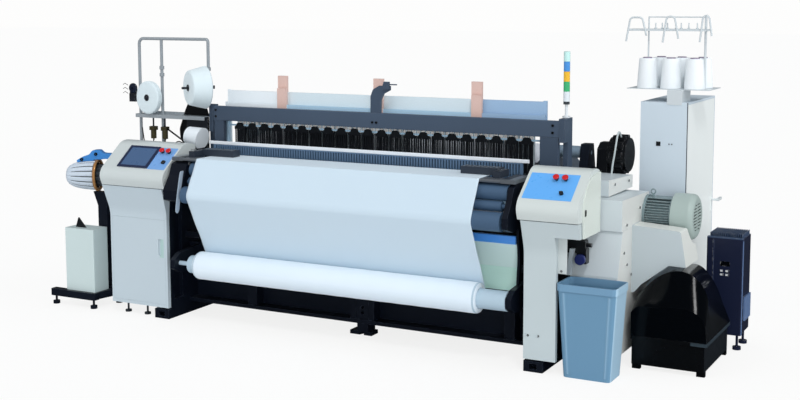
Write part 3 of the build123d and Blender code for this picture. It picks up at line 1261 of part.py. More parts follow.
def yarn_cones():
    """Six yarn cones in two rows, each wound on a paper tube."""
    shapes = []
    upright = (Align.CENTER, Align.CENTER, Align.MIN)
    for y, first, pitch in ((1112.0, 1686.0, 151.0), (1262.0, 1733.0, 134.0)):
        for index in range(3):
            x = first + index * pitch
            yarn = Pos(x, y, CONE_SEAT) * Cone(64, 52, 186, align=upright)
            yarn = fillet(yarn.edges().filter_by(GeomType.CIRCLE), 6)
            tube = Pos(x, y, CONE_SEAT + 180) * Cone(30, 28, 16, align=upright)
            shapes.append(yarn + tube)
    return group(*shapes)


PIECES = {
    "left_side_frame": lambda: side_frame(-1),
    "right_side_frame": lambda: side_frame(1),
    "front_cross_beam": front_cross_beam,
    "rear_cross_beam": rear_cross_beam,
    "centre_foot": centre_foot,
    "top_beam": top_beam,
    "top_beam_brackets": top_beam_brackets,
    "breast_beam": breast_beam,
    "cloth_sheet": cloth_sheet,
    "warp_sheet": warp_sheet,
    "take_up_roller": lambda: roller(TAKE_UP),
    "press_roller": lambda: roller(PRESS, 30.0),
    "guide_roller": lambda: roller(GUIDE, 5.0),
    "cloth_roll": cloth_roll,
    "back_rest_roller": back_rest_roller,
    "warp_beam": warp_beam,
    "sley": sley,
    "reed": reed,
    "rear_harness": rear_harness,
    "front_harness": front_harness,
    "front_heddles": front_heddles,
    "left_cabinet": left_cabinet,
    "left_cabinet_door": left_cabinet_door,
    "left_head": left_head,
    "left_panel": left_panel,
    "left_stop_button": lambda: push_button(LEFT_BUTTONS[0], 14),
    "left_emergency_button": lambda: push_button(LEFT_BUTTONS[1], 14),
    "left_mode_key": mode_key,
    "right_leg_cover": right_leg_cover,
    "right_head": right_head,
    "right_key_plate": right_key_plate,
    "right_stop_button": lambda: push_button(RIGHT_BUTTONS[0], 14),
    "right_emergency_button": lambda: push_button(RIGHT_BUTTONS[1], 14),
    "right_selector_knob": selector_knob,
    "inner_panel": inner_panel,
    "press_release_lever": release_lever,
    "gear_covers": gear_covers,
    "belt_cover": belt_cover,
    "motor": motor_housing,
    "motor_rotor": motor_rotor,
    "control_cabinet": cabinet,
    "control_cabinet_door": cabinet_door,
    "cabinet_door_handle": cabinet_handle,
    "drive_inverter": inverter,
    "shedding_unit_cover": dobby_cover,
    "shedding_unit_base": dobby_base,
    "let_off_drive": let_off_drive,
    "signal_tower": signal_tower,
    "waste_bin": waste_bin,
    "selvedge_unit": selvedge_unit,
    "selvedge_wheel": selvedge_wheel,
    "feeder_stand": feeder_stand,
    "feeder_box": feeder_box,
    "feeder_body": feeder_body,
    "creel_frame": creel_frame,
    "creel_fittings": creel_fittings,
    "flat_package": flat_package,
    "thick_package": thick_package,
    "cone_rack": cone_rack,
    "yarn_cones": yarn_cones,
}


def write_all():
    """Write each piece, moved so that the centre foot stands on the origin."""
    os.makedirs("parts", exist_ok=True)
    for name, make in PIECES.items():
        shape = make()
        export_step(Pos(0, -CENTRE_FOOT_BACK, 0) * shape, f"parts/{name}.step")
        print(name, len(shape.solids()))


write_all()
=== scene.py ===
# %% [markdown]
# # A broad air-jet power loom
# This lesson dresses a loom whose solid pieces come from CAD. Blender keeps every solid where it is. What it
# adds is finish and cloth: paint with worn edges, turned rollers, woven cloth, wound yarn, hoses and screws.
# All numbers are metres in the loom's own frame, with the floor at height zero and the weaver at low Y.

# %% Load the fixed frame
import bmesh
import bpy
import numpy as np
from mathutils import Matrix
from math import acos, atan2, cos, hypot, pi, radians, sin


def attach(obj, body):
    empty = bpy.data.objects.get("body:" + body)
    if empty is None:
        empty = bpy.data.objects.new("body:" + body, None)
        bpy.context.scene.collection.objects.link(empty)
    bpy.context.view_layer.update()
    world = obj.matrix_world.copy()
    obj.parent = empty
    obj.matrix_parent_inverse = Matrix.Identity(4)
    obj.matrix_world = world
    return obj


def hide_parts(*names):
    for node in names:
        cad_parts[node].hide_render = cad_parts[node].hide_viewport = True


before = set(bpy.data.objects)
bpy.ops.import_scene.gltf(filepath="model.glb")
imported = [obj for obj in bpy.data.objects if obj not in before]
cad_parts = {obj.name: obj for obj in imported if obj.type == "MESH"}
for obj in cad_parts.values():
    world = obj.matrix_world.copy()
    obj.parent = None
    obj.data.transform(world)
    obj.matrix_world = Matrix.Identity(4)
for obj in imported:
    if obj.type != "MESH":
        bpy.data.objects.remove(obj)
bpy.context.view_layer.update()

# %% [markdown]
# ## Camera
# The camera stands where the photographer stood, a little to the right and above a person's eyes. Its shift
# moves the picture down without tilting it, so upright edges keep their slant.

# %% Place the camera
camera_data = bpy.data.cameras.new("camera")
camera_data.sensor_width = 36.0
camera_data.lens = 55.86
camera_data.shift_y = -0.075
camera = bpy.data.objects.new("camera", camera_data)
camera.location = (3.9705, -6.9302, 2.15)
camera.rotation_euler = (radians(83.70), radians(0.11), radians(27.74))
bpy.context.collection.objects.link(camera)
bpy.context.scene.camera = camera
bpy.context.scene.view_settings.view_transform = "Standard"
print("camera at", tuple(round(v, 3) for v in camera.location))

# %% [markdown]
# ## Shader formulas
# Finishes are formulas on noise and place. These shortcuts let a formula be written with plus and minus signs,
# and each sign becomes a node.

# %% Node shortcuts
class Wire:
    """An output of a node. Signs between wires and numbers make Math nodes, so that a formula reads as one."""

    def __init__(self, tree, socket):
        self.tree, self.socket = tree, socket

    def __add__(self, other):
        return calc(self.tree, "ADD", self, other)

    def __sub__(self, other):
        return calc(self.tree, "SUBTRACT", self, other)

    def __rsub__(self, other):
        return calc(self.tree, "SUBTRACT", other, self)

    def __mul__(self, other):
        return calc(self.tree, "MULTIPLY", self, other)

    def __truediv__(self, other):
        return calc(self.tree, "DIVIDE", self, other)

    def __gt__(self, other):
        return calc(self.tree, "GREATER_THAN", self, other)

    def __lt__(self, other):
        return calc(self.tree, "LESS_THAN", self, other)

    def __abs__(self):
        return calc(self.tree, "ABSOLUTE", self)


def feed(tree, socket, value):
    """A link where the value comes out of a node, or else the socket's own constant."""
    source = getattr(value, "socket", value)
    if hasattr(source, "is_output"):
        tree.links.new(source, socket)
    else:
        socket.default_value = value


def deliver(tree, node, **values):
    """Feeds a node's inputs by name; a space in a name is an underscore."""
    for key, value in values.items():
        feed(tree, node.inputs[key.replace("_", " ")], value)


def put(tree, kind, out=None, **values):
    """A node with its settings and inputs given by name, or the wire of one of its outputs."""
    made = tree.nodes.new("ShaderNode" + kind)
    for key, value in values.items():
        if made.inputs.get(key.replace("_", " ")) is not None:
            deliver(tree, made, **{key: value})
        else:
            setattr(made, key, value)
    return Wire(tree, made.outputs[out]) if out else made


def calc(tree, operation, *values, kind="Math", result=0):
    """One step of arithmetic: the values go to the step's inputs in their order."""
    step = put(tree, kind, operation=operation)
    for socket, value in zip(step.inputs, values):
        feed(tree, socket, value)
    return Wire(tree, step.outputs[result])


def vector(tree, operation, first, second):
    """One step of vector arithmetic. A dot product gives a number."""
    return calc(tree, operation, first, second, kind="VectorMath", result=int(operation == "DOT_PRODUCT"))


def scaled(tree, colour, share):
    """A colour times a number."""
    return put(tree, "VectorMath", out="Vector", operation="SCALE", Vector=colour, Scale=share)


def axes(tree, place):
    """The three coordinates of a place, as wires."""
    return [Wire(tree, part) for part in put(tree, "SeparateXYZ", Vector=place).outputs]


def blend_colour(tree, share, first, second):
    """first where share is 0, second where it is 1."""
    mix = put(tree, "Mix", data_type="RGBA")
    for index, value in ((0, share), (6, first), (7, second)):
        feed(tree, mix.inputs[index], value)
    return Wire(tree, mix.outputs[2])


def blend_shaders(tree, share, first, second, last):
    """A mix of two shaders, joined to the tree's last node."""
    mix = put(tree, "MixShader", Fac=share)
    tree.links.new(first.outputs[0], mix.inputs[1])
    tree.links.new(second.outputs[0], mix.inputs[2])
    tree.links.new(mix.outputs[0], tree.nodes[last].inputs["Surface"])


def blank(name):
    """A new material, its node tree and its shader."""
    material = bpy.data.materials.new(name)
    material.use_nodes = True
    return material, material.node_tree, material.node_tree.nodes["Principled BSDF"]


def lift(tree, shader, height, strength, distance=0.001):
    """Bump: the shader's normal follows a height."""
    deliver(tree, shader, Normal=put(tree, "Bump", out="Normal", Strength=strength, Distance=distance, Height=height))


def group(name, inputs, outputs):
    """An empty shader group: the group, its named inputs as wires, and the node that takes its outputs."""
    made = bpy.data.node_groups.new(name, "ShaderNodeTree")
    for title, kind, value in inputs:
        made.interface.new_socket(title, in_out="INPUT", socket_type="NodeSocket" + kind).default_value = value
    for title, kind in outputs:
        made.interface.new_socket(title, in_out="OUTPUT", socket_type="NodeSocket" + kind)
    given = made.nodes.new("NodeGroupInput").outputs
    return made, {title: Wire(made, given[title]) for title, _, _ in inputs}, made.nodes.new("NodeGroupOutput")


print("node shortcuts ready")

# %% [markdown]
# ## Light
# A studio with white walls lights a machine from every side. A pale world does that here, and two soft suns
# give the faces their direction. Suns light a wide floor evenly, which lamps of a small size would not.

# %% Light the studio
def srgb(red, green, blue):
    """Screen values 0..255 turned into linear light: ((v + 0.055) / 1.055) to the power 2.4, above 0.04."""
    value = np.array([red, green, blue], float) / 255
    linear = np.where(value <= 0.04045, value / 12.92, ((value + 0.055) / 1.055) ** 2.4)
    return (*linear.tolist(), 1.0)


def soft_sun(name, turn, tilt, strength, width, gleam=False):
    """A sun from a compass turn and a tilt above the floor, with a wide disc; only one that gleams is mirrored."""
    data = bpy.data.lights.new(name, "SUN")
    data.energy = strength
    data.angle = radians(width)
    lamp = bpy.data.objects.new(name, data)
    lamp.rotation_euler = (radians(90 - tilt), 0, radians(turn))
    lamp.visible_glossy = gleam
    bpy.context.collection.objects.link(lamp)


soft_sun("key_light", 38, 52, 0.85, 10, gleam=True)
soft_sun("front_light", 27, 8, 0.8, 20)
soft_sun("fill_light", -35, 35, 0.28, 40)
soft_sun("side_light", 95, 25, 0.75, 40)

STUDIO_WHITE = (0.985, 0.985, 0.98, 1)
WALL_LIGHT, WALL_MIRRORED = 0.54, 0.10
world = bpy.data.worlds.new("studio")
bpy.context.scene.world = world
world.use_nodes = True
tree = world.node_tree
path = put(tree, "LightPath").outputs
walls = tree.nodes["Background"]
deliver(tree, walls, Color=(0.93, 0.96, 1.0, 1),
        Strength=Wire(tree, path["Is Glossy Ray"]) * (WALL_MIRRORED - WALL_LIGHT) + WALL_LIGHT)
blend_shaders(tree, path["Is Camera Ray"], walls, put(tree, "Background", Color=STUDIO_WHITE), "World Output")

# %% [markdown]
# ## Surfaces from arrays
# A piece such as a roll or a hose is a point for each pair of numbers on a grid. Numpy works out the whole
# grid at once and hands it to the mesh, and the grid's own steps become the piece's UV map.

# %% Grid, lathe and tube
def add_piece(name, points, faces, body, uv=None, smooth=True):
    """A piece from points and quads, riding on a body; uv gives one map place for each corner of each quad."""
    mesh = bpy.data.meshes.new(name)
    mesh.vertices.add(len(points))
    mesh.vertices.foreach_set("co", points.reshape(-1).astype(np.float32))
    mesh.loops.add(faces.size)
    mesh.loops.foreach_set("vertex_index", faces.reshape(-1).astype(np.int32))
    mesh.polygons.add(len(faces))
    mesh.polygons.foreach_set("loop_start", np.arange(0, faces.size, 4, dtype=np.int32))
    mesh.update(calc_edges=True)
    if smooth:
        mesh.shade_smooth()
    if uv is not None:
        layer = mesh.uv_layers.new(name="cloth_map")
        layer.data.foreach_set("uv", uv.reshape(-1).astype(np.float32))
    piece = bpy.data.objects.new(name, mesh)
    bpy.context.collection.objects.link(piece)
    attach(piece, body)
    return piece


def surface(name, points, body, closed_u=False, closed_v=False, uv=None):
    """A skin of quads over a grid of points: face (i, j) joins rows i, i+1 and columns j, j+1."""
    rows, columns = points.shape[:2]
    index = np.arange(rows * columns).reshape(rows, columns)
    down = np.roll(index, -1, 0) if closed_u else index[1:]
    up = index if closed_u else index[:-1]
    if closed_v:
        faces = np.stack([up, down, np.roll(down, -1, 1), np.roll(up, -1, 1)], -1)
    else:
        faces = np.stack([up[:, :-1], down[:, :-1], down[:, 1:], up[:, 1:]], -1)
    faces = faces.reshape(-1, 4)
    corners = None if uv is None else uv.reshape(-1, 2)[faces.reshape(-1)]
    return add_piece(name, points.reshape(-1, 3), faces, body, uv=corners)


def ring_about(direction, steps):
    """An axis, turns round it, and the ring cos t * first + sin t * second, both square to the axis."""
    axis = np.array(direction, float)
    axis /= np.linalg.norm(axis)
    first = np.cross(axis, np.eye(3)[np.argmin(np.abs(axis))])
    first /= np.linalg.norm(first)
    turn = np.linspace(0, 2 * pi, steps, endpoint=False)
    return axis, turn, np.cos(turn)[:, None] * first + np.sin(turn)[:, None] * np.cross(axis, first)


def lathe(name, profile, origin, direction, body="loom", steps=64, flutes=0, depth=0.0):
    """A turned skin: point = origin + along * axis + radius * ring, where flutes take a share off the radius."""
    axis, turn, ring = ring_about(direction, steps)
    along, radius = np.asarray(profile, float).T
    reach = radius * (1 - depth * np.cos(flutes * turn)[:, None] ** 8)
    points = np.asarray(origin) + along[None, :, None] * axis + reach[..., None] * ring[:, None, :]
    return surface(name, points, body, closed_u=True)


def tube(name, route, radius, steps=12):
    """A rod: rings carried along a route, each ring square to the line between its neighbours."""
    route = np.asarray(route, float)
    tangent = np.gradient(route, axis=0)
    tangent /= np.linalg.norm(tangent, axis=1)[:, None]
    first = np.cross(tangent, (0.31, 0.17, 0.93))
    first /= np.linalg.norm(first, axis=1)[:, None]
    turn = np.linspace(0, 2 * pi, steps, endpoint=False)[:, None]
    ring = np.cos(turn) * first[:, None] + np.sin(turn) * np.cross(tangent, first)[:, None]
    ends = np.repeat(route[[0, -1], None], steps, 1)
    return surface(name, np.concatenate([ends[:1], route[:, None] + radius * ring, ends[1:]]), "loom", closed_v=True)


# %% Bars, heads and plates
def bars(name, places, half, body="loom"):
    """Many flat bars in one mesh: each middle plus or minus one half size, eight corners and six quads apiece."""
    sign = np.array(np.meshgrid((-1, 1), (-1, 1), (-1, 1), indexing="ij"), float).reshape(3, 8).T
    points = np.asarray(places, float)[:, None] + sign * half
    quads = np.array([(0, 1, 3, 2), (4, 6, 7, 5), (0, 4, 5, 1), (2, 3, 7, 6), (0, 2, 6, 4), (1, 5, 7, 3)])
    faces = quads + 8 * np.arange(len(places))[:, None, None]
    return add_piece(name, points.reshape(-1, 3), faces.reshape(-1, 4), body, smooth=False)


def heads(name, places, direction, radius, height):
    """Screw heads in one mesh: a short outline with a chamfered rim, turned about a direction at each place."""
    axis, _, ring = ring_about(direction, 20)
    along = np.array((0, 0.7, 1, 1, 0.55)) * height
    reach = np.array((1, 1, 0.82, 0.4, 0.3)) * radius
    one = along[:, None, None] * axis + reach[:, None, None] * ring
    points = np.asarray(places, float)[:, None, None] + one
    index = np.arange(points.size // 3).reshape(points.shape[:3])
    up, down = index[:, :-1], index[:, 1:]
    faces = np.stack([up, np.roll(up, -1, 2), np.roll(down, -1, 2), down], -1).reshape(-1, 4)
    return add_piece(name, points.reshape(-1, 3), faces, "loom")


def rounded(points, count=6, share=0.25):
    """An outline whose corners are rounded by quadratic arcs that start a share of the way along each side."""
    points = np.asarray(points, float)
    out = [points[:1]]
    for before, corner, after in zip(points[:-2], points[1:-1], points[2:]):
        start = corner + (before - corner) * share
        end = corner + (after - corner) * share
        t = np.linspace(0, 1, count)[:, None]
        out.append((1 - t) ** 2 * start + 2 * t * (1 - t) * corner + t ** 2 * end)
    out.append(points[-1:])
    return np.concatenate(out)


AXES = {"xz": (0, 2, 1), "yz": (1, 2, 0)}


def plate(name, outline, span, plane, edge=0.002, **corners):
    """A flat plate: an outline in one plane, its corners rounded, carried between two places on the third axis."""
    if corners:
        outline = rounded([*outline, outline[0]], **corners)[:-1]
    count = len(outline)
    points = np.empty((2, count, 3))
    points[..., AXES[plane][:2]] = outline
    points[..., AXES[plane][2]] = np.asarray(span, float)[:, None]
    index = np.arange(count)
    sides = np.stack([index, np.roll(index, -1), np.roll(index, -1) + count, index + count], -1)
    mesh = bpy.data.meshes.new(name)
    mesh.from_pydata(points.reshape(-1, 3), [], sides.tolist() + [index[::-1].tolist(), (index + count).tolist()])
    work = bmesh.new()
    work.from_mesh(mesh)
    bmesh.ops.recalc_face_normals(work, faces=work.faces)
    work.to_mesh(mesh)
    work.free()
    piece = bpy.data.objects.new(name, mesh)
    bpy.context.collection.objects.link(piece)
    soften = piece.modifiers.new("edges", "BEVEL")
    soften.width = edge
    soften.segments = 2
    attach(piece, "loom")
    return piece


def places_of(mesh):
    """The mesh's points as an array."""
    spot = np.empty(len(mesh.vertices) * 3, np.float32)
    mesh.vertices.foreach_get("co", spot)
    return spot.reshape(-1, 3)


def hose(name, route, diameter, material):
    """A free cable or hose: a smooth curve through its route's control points."""
    data = bpy.data.curves.new(name, "CURVE")
    data.dimensions = "3D"
    line = data.splines.new("NURBS")
    line.points.add(len(route) - 1)
    line.points.foreach_set("co", np.insert(np.asarray(route, float), 3, 1.0, axis=1).reshape(-1))
    line.order_u = 3
    line.use_endpoint_u = True
    line.resolution_u = 12
    piece = bpy.data.objects.new(name, data)
    bpy.context.collection.objects.link(piece)
    bare = places_of(bpy.data.meshes.new_from_object(piece))
    data.bevel_depth = diameter / 2
    data.bevel_resolution = 3
    data.materials.append(material)
    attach(piece, "loom")


print("surface tools ready")

# %% [markdown]
# ## Effects that finishes share
# Paint, steel and plastic all show faint clouds of tone, a fine skin and lighter edges. Each effect is one
# shader group with named inputs, so that every finish can turn it up or down.

# %% Paint skin, edge wear and dust in one group
skin, given, out = group("machine_skin",
                         [("Colour", "Color", (0.5, 0.5, 0.5, 1)), ("Edge colour", "Color", (0.6, 0.6, 0.6, 1)),
                          ("Wear", "Float", 0.3), ("Clouds", "Float", 0.06), ("Dust", "Float", 0.1),
                          ("Peel scale", "Float", 400.0), ("Roughness", "Float", 0.4)],
                         [("Colour", "Color"), ("Roughness", "Float"), ("Height", "Float")])
place = put(skin, "TexCoord", out="Object")
clouds = put(skin, "TexNoise", out="Fac", Vector=place, Scale=2.3, Detail=4.0)
shade = scaled(skin, given["Colour"], (clouds - 0.5) * given["Clouds"] + 1.0)
bent = put(skin, "Bevel", out="Normal", samples=4, Radius=0.004)
flat = put(skin, "NewGeometry", out="Normal")
rim = (1.0 - vector(skin, "DOT_PRODUCT", bent, flat)) * 6.0
chips = put(skin, "TexNoise", out="Fac", Vector=place, Scale=38.0, Detail=6.0)
chip_mask = calc(skin, "SMOOTH_MIN", calc(skin, "MAXIMUM", chips - 0.47, 0.0), 0.12, 0.05)
wear_mask = calc(skin, "MINIMUM", rim * (chip_mask * 8.0) * given["Wear"], 1.0)
worn = blend_colour(skin, wear_mask, shade, given["Edge colour"])
settle = calc(skin, "MAXIMUM", axes(skin, flat)[2], 0.0) * given["Dust"]
deliver(skin, out, Colour=blend_colour(skin, settle * clouds, worn, (0.55, 0.54, 0.52, 1)),
        Roughness=(chips - 0.5) * 0.16 + given["Roughness"],
        Height=put(skin, "TexNoise", out="Fac", Vector=place, Detail=2.0, Scale=given["Peel scale"]))
print("group:", skin.name)

# %% A box mask, for nodes that hold pieces of several colours
zone, given, out = group("inside_box", [("Low", "Vector", (0, 0, 0)), ("High", "Vector", (1, 1, 1))],
                         [("Inside", "Float")])
place = put(zone, "TexCoord", out="Object")


def limit(low, high):
    """1 where every coordinate of high is more than that of low."""
    across, back, up = axes(zone, vector(zone, "SUBTRACT", high, low))
    return calc(zone, "MINIMUM", across, calc(zone, "MINIMUM", back, up)) > 0.0


deliver(zone, out, Inside=limit(given["Low"], place) * limit(place, given["High"]))
print("group:", zone.name)

# %% A turned or brushed grain, and a weave
grain, given, out = group("fine_lines", [("Stretch", "Vector", (1, 1, 1)), ("Scale", "Float", 300.0)],
                          [("Lines", "Float")])
pulled = vector(grain, "MULTIPLY", put(grain, "TexCoord", out="Object"), given["Stretch"])
deliver(grain, out, Lines=put(grain, "TexNoise", out="Fac", Detail=3.0, Vector=pulled, Scale=given["Scale"]))

weave, given, out = group("plain_weave", [("Threads", "Float", 900.0)], [("Height", "Float"), ("Tone", "Float")])
place = put(weave, "UVMap", out="UV", uv_map="cloth_map")
across, along = (calc(weave, "SINE", axis * given["Threads"]) for axis in axes(weave, place)[:2])
deliver(weave, out, Height=across * along,
        Tone=put(weave, "TexNoise", out="Fac", Vector=place, Scale=1.6, Detail=5.0))
print("groups:", grain.name, weave.name)

# %% [markdown]
# ## Finishes
# A finish is a base colour seen through those effects. Where one CAD node holds several real pieces, such as
# a lamp stack or a button with its collar, boxes in the loom's frame say which colour goes where.

# %% The finish maker
def box(low, high, red, green, blue, metal=0.0, roughness=0.4):
    """A colour zone between two corners."""
    return low, high, srgb(red, green, blue), metal, roughness


def skin_finish(name, colour, zones=(), roughness=0.42, metal=0.0, coat=0.0, wear=0.3, clouds=0.06, dust=0.08,
                edge=(0.55, 0.56, 0.57, 1), peel=420.0, bump=0.05, shine_level=0.5):
    """Paint, plastic or cast metal: base colour, zones as (low, high, colour, metal, roughness), skin group."""
    material, tree, shader = blank(name)
    shine, rough = metal, roughness
    for low, high, tint, zone_metal, zone_rough in zones:
        mask = put(tree, "Group", out="Inside", node_tree=zone, Low=low, High=high)
        colour = blend_colour(tree, mask, colour, tint)
        shine = mask * (zone_metal - metal) + shine if zone_metal != metal else shine
        rough = mask * (zone_rough - roughness) + rough
    layer = put(tree, "Group", node_tree=skin, Colour=colour, Roughness=rough, Edge_colour=edge, Wear=wear,
                Clouds=clouds, Dust=dust, Peel_scale=peel).outputs
    deliver(tree, shader, Base_Color=layer["Colour"], Roughness=layer["Roughness"], Metallic=shine,
            Coat_Weight=coat, Specular_IOR_Level=shine_level)
    lift(tree, shader, layer["Height"], bump)
    return material


def turned_finish(name, colour, stretch, zones=(), metal=1.0, roughness=0.32):
    """Turned or brushed metal: noise pulled out along one axis tints the colour and scratches the skin."""
    material = skin_finish(name, colour, zones, roughness=roughness, metal=metal, wear=0.0, dust=0.02, bump=0.03)
    tree = material.node_tree
    shader = tree.nodes["Principled BSDF"]
    lines = put(tree, "Group", out="Lines", node_tree=grain, Stretch=stretch, Scale=260.0)
    source = shader.inputs["Base Color"].links[0].from_socket
    deliver(tree, shader, Base_Color=scaled(tree, source, lines * 0.5 + 0.72))
    lift(tree, shader, lines, 0.08, 0.0006)
    return material


def dress(material, *nodes):
    """Puts a finish on CAD nodes."""
    for name in nodes:
        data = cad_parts[name].data
        data.materials.clear()
        data.materials.append(material)


def clad(material, slot, *pieces):
    """Puts a finish on pieces that the scene adds; the slot argument is not used."""
    for piece in pieces:
        piece.data.materials.append(material)


print("finish makers ready")

# %% [markdown]
# ## Castings and beams
# The cast frames and the front beam carry a very dark navy machine paint, scuffed to grey on the edges where
# feet and tools touch it. The beam over the reed is slate blue.

# %% Frame paint
NAVY, BLACK = srgb(15, 21, 33), srgb(16, 18, 22)
frame_paint = skin_finish("frame_paint", NAVY, roughness=0.42, wear=0.5, clouds=0.5, dust=0.015,
                          edge=srgb(70, 80, 94), bump=0.12, peel=230, shine_level=0.3)
dress(frame_paint, "left_side_frame", "right_side_frame", "front_cross_beam", "rear_cross_beam", "centre_foot",
      "sley", "feeder_stand")
SLATE = dict(roughness=0.4, wear=0.35, clouds=0.22, dust=0.02, edge=srgb(120, 130, 142), shine_level=0.35)
dress(skin_finish("beam_paint", srgb(66, 80, 98), **SLATE), "top_beam_brackets")
dress(skin_finish("beam_and_bolts", srgb(71, 86, 105), [box((-2, 0.17, 1.3), (2, 0.1846, 1.45), 12, 14, 18, 0.3)],
                  **SLATE), "top_beam")
print("castings painted")

# %% [markdown]
# ## Covers and consoles
# Folded sheet and moulded heads are pale blue-grey. The end faces towards the drive are cream, painted
# paler than the fronts as painted light from the right. A real cover is wiped clean every day, so wear
# stays small and only its edges and top show age.

# %% Cover paint
PALE, PALE_EDGE = srgb(190, 204, 212), srgb(160, 168, 176)
SHEET = dict(roughness=0.36, coat=0.15, wear=0.12, clouds=0.05, dust=0.03)
WIPED = dict(clouds=0.05, dust=0.0)
MOULDED = dict(roughness=0.32, coat=0.3, clouds=0.04)
dress(skin_finish("service_door_paint", PALE, [box((-1.366, -1, 0.424), (-1.330, 1, 0.553), 172, 200, 198)],
                  edge=PALE_EDGE, **SHEET), "left_cabinet_door")
dress(skin_finish("console_paint", PALE, [box((-2, -1, -1), (-1, 1, 0.0769), 70, 76, 82, 0.5)], edge=PALE_EDGE,
                  **SHEET),
      "left_cabinet")
dress(skin_finish("leg_paint", srgb(191, 203, 206), edge=srgb(170, 176, 180), **SHEET), "right_leg_cover")
head_paint = skin_finish("head_paint", srgb(200, 208, 208), wear=0.08, dust=0.02, edge=srgb(170, 176, 182), **MOULDED)
dress(head_paint, "left_head")
HEAD_SIDE = 1.659
# The end face beyond HEAD_SIDE is painted paler than the front: painted light from the right.
dress(skin_finish("right_head_paint", srgb(206, 214, 212), [box((HEAD_SIDE, -1, 0.5), (1.8, 1, 1.3), 214, 222, 214)],
                  wear=0.05, dust=0.0, **MOULDED), "right_head")
# The right faces of these covers are painted paler and warmer than their fronts: painted light from the right.
dress(skin_finish("gear_paint", srgb(201, 211, 215), [box((1.7928, -1, -1), (1.81, 0.6, 1.003), 216, 219, 216),
                                                      box((1.6758, -1, 1.0035), (1.69, 0.6, 1.2), 216, 219, 216)],
                  roughness=0.38, wear=0.15, **WIPED), "gear_covers")
# The belt cover's right face is painted paler than its front: painted light from the right.
dress(skin_finish("belt_paint", srgb(186, 197, 201), [box((1.8, 0.1852, 0.3), (2.2, 0.6, 0.9), 218, 222, 218)],
                  roughness=0.38, wear=0.12, **WIPED), "belt_cover")
# The guard's mint is painted very pale: partly its own colour, partly painted light for the bounce light that the cloth
# shades off it.
dress(skin_finish("guard_mint", srgb(226, 253, 250),
                  [box((-2, -1, 0.3), (2, 1, 0.56), 214, 254, 242),
                   box((-2, -1, 0.7165), (2, 1, 0.8), 84, 162, 255, roughness=0.35),
                   *((low, high, NAVY, 0.0, 0.4) for low, high in (((-1.31, -1, 0.3), (-1.0755, 1, 0.6)),
                                                                   ((1.1885, -1, 0.3), (1.31, 1, 0.6))))],
                  roughness=0.4, wear=0.1, **WIPED), "inner_panel")
SWITCH_X, SWITCH_Z = 1.798, 1.268
dress(skin_finish("cabinet_paint", srgb(204, 218, 228),
                  [box((SWITCH_X - 0.0145, 0.68, SWITCH_Z - 0.0145), (SWITCH_X + 0.0145, 0.684, SWITCH_Z + 0.0145),
                       16, 18, 22, roughness=0.3),
                   box((1.9755, 0.6, 0.0), (1.9785, 0.70, 1.6), 70, 78, 88),
                   box((SWITCH_X + 0.06, 0.68, SWITCH_Z - 0.006), (SWITCH_X + 0.09, 0.6845, SWITCH_Z + 0.006),
                       60, 64, 70)], roughness=0.4, wear=0.1, **WIPED), "control_cabinet")
dress(skin_finish("door_paint", srgb(238, 244, 243), roughness=0.38, wear=0.1, clouds=0.04), "control_cabinet_door")
print("covers painted")

# %% [markdown]
# ## Rollers, harness and reed
# Rollers are turned steel, so their fine marks run round them. The harness rails are pale drawn aluminium,
# the heddles are blued strip, and the reed is a row of steel dents under a white cap.

# %% Metal finishes
dress(turned_finish("roller_steel", srgb(76, 104, 134), (1, 14, 14), metal=0.2, roughness=0.46),
      "take_up_roller", "press_roller", "guide_roller")
dress(turned_finish("rest_steel", srgb(150, 172, 190), (1, 14, 14), metal=0.4, roughness=0.4), "back_rest_roller")
bright = turned_finish("bright_steel", srgb(176, 180, 184), (3, 30, 30), roughness=0.28)
dress(bright, "press_release_lever", "motor_rotor")
dress(turned_finish("pale_handle", srgb(222, 230, 232), (3, 30, 30), metal=0.1, roughness=0.4), "cabinet_door_handle")
# The left ends of the rails are painted paler and the right ends darker: a painted highlight and painted shade along
# the aluminium.
rail_end_light_and_shade = [box((-1.4, 0.2, 1.40), (-0.69, 0.32, 1.75), 240, 248, 253),
             box((0.765, 0.2, 1.40), (1.4, 0.32, 1.75), 166, 198, 230, 0.1)]
for node, colour, roughness, rows in (
        ("front_harness", (190, 226, 250), 0.40, ((0.2455, 0.2539, 1.393, 1.567), (0.2455, 0.2695, 1.4541, 1.567))),
        ("rear_harness", (232, 248, 255), 0.36, ((0.2755, 0.2839, 1.478, 1.652), (0.2755, 0.2995, 1.5391, 1.652)))):
    laminate = [box((-1.1, front, foot), (1.1, back, top), 222, 190, 180, roughness=0.5)
                for front, back, foot, top in rows]
    dress(turned_finish(node + "_rail", srgb(*colour), (1, 30, 30), rail_end_light_and_shade + laminate, metal=0.15,
                        roughness=roughness), node)
heddle_steel = turned_finish("heddle_steel", srgb(22, 26, 32), (30, 30, 2), metal=0.1, roughness=0.42)
dress(heddle_steel, "front_heddles")
dress(turned_finish("reed_steel", srgb(92, 120, 150), (60, 4, 4), [box((-2, -1, 1.1815), (2, 1, 1.3), 232, 238, 244)],
                    metal=0.1, roughness=0.46), "reed")
dress(turned_finish("breast_steel", srgb(170, 178, 186), (2, 30, 30),
                    [box((-1.2, -0.3, 1.1221), (1.2, 0, 1.2), 46, 54, 66, roughness=0.42)], metal=0.8, roughness=0.3),
      "breast_beam")
clad(turned_finish("temple_rib_steel", srgb(116, 130, 144), (30, 2, 30), metal=0.3), "bright_steel",
     bars("temple_ribs", [(x + 0.03 * i, -0.124, 1.1688) for x in (-1.09, 0.84) for i in range(8)],
          (0.0035, 0.034, 0.0014)))
clad(bright, "bright_steel",
     heads("temple_screws", [(x, y, 1.1676) for x in (-1.135, 1.105) for y in (-0.235, -0.205)], (0, 0, 1), 0.007,
           0.004))
print("metals dressed")

# %% Dense heddle curtains
HEDDLE_PITCH, HEDDLE_HALF = 0.0072, 0.15


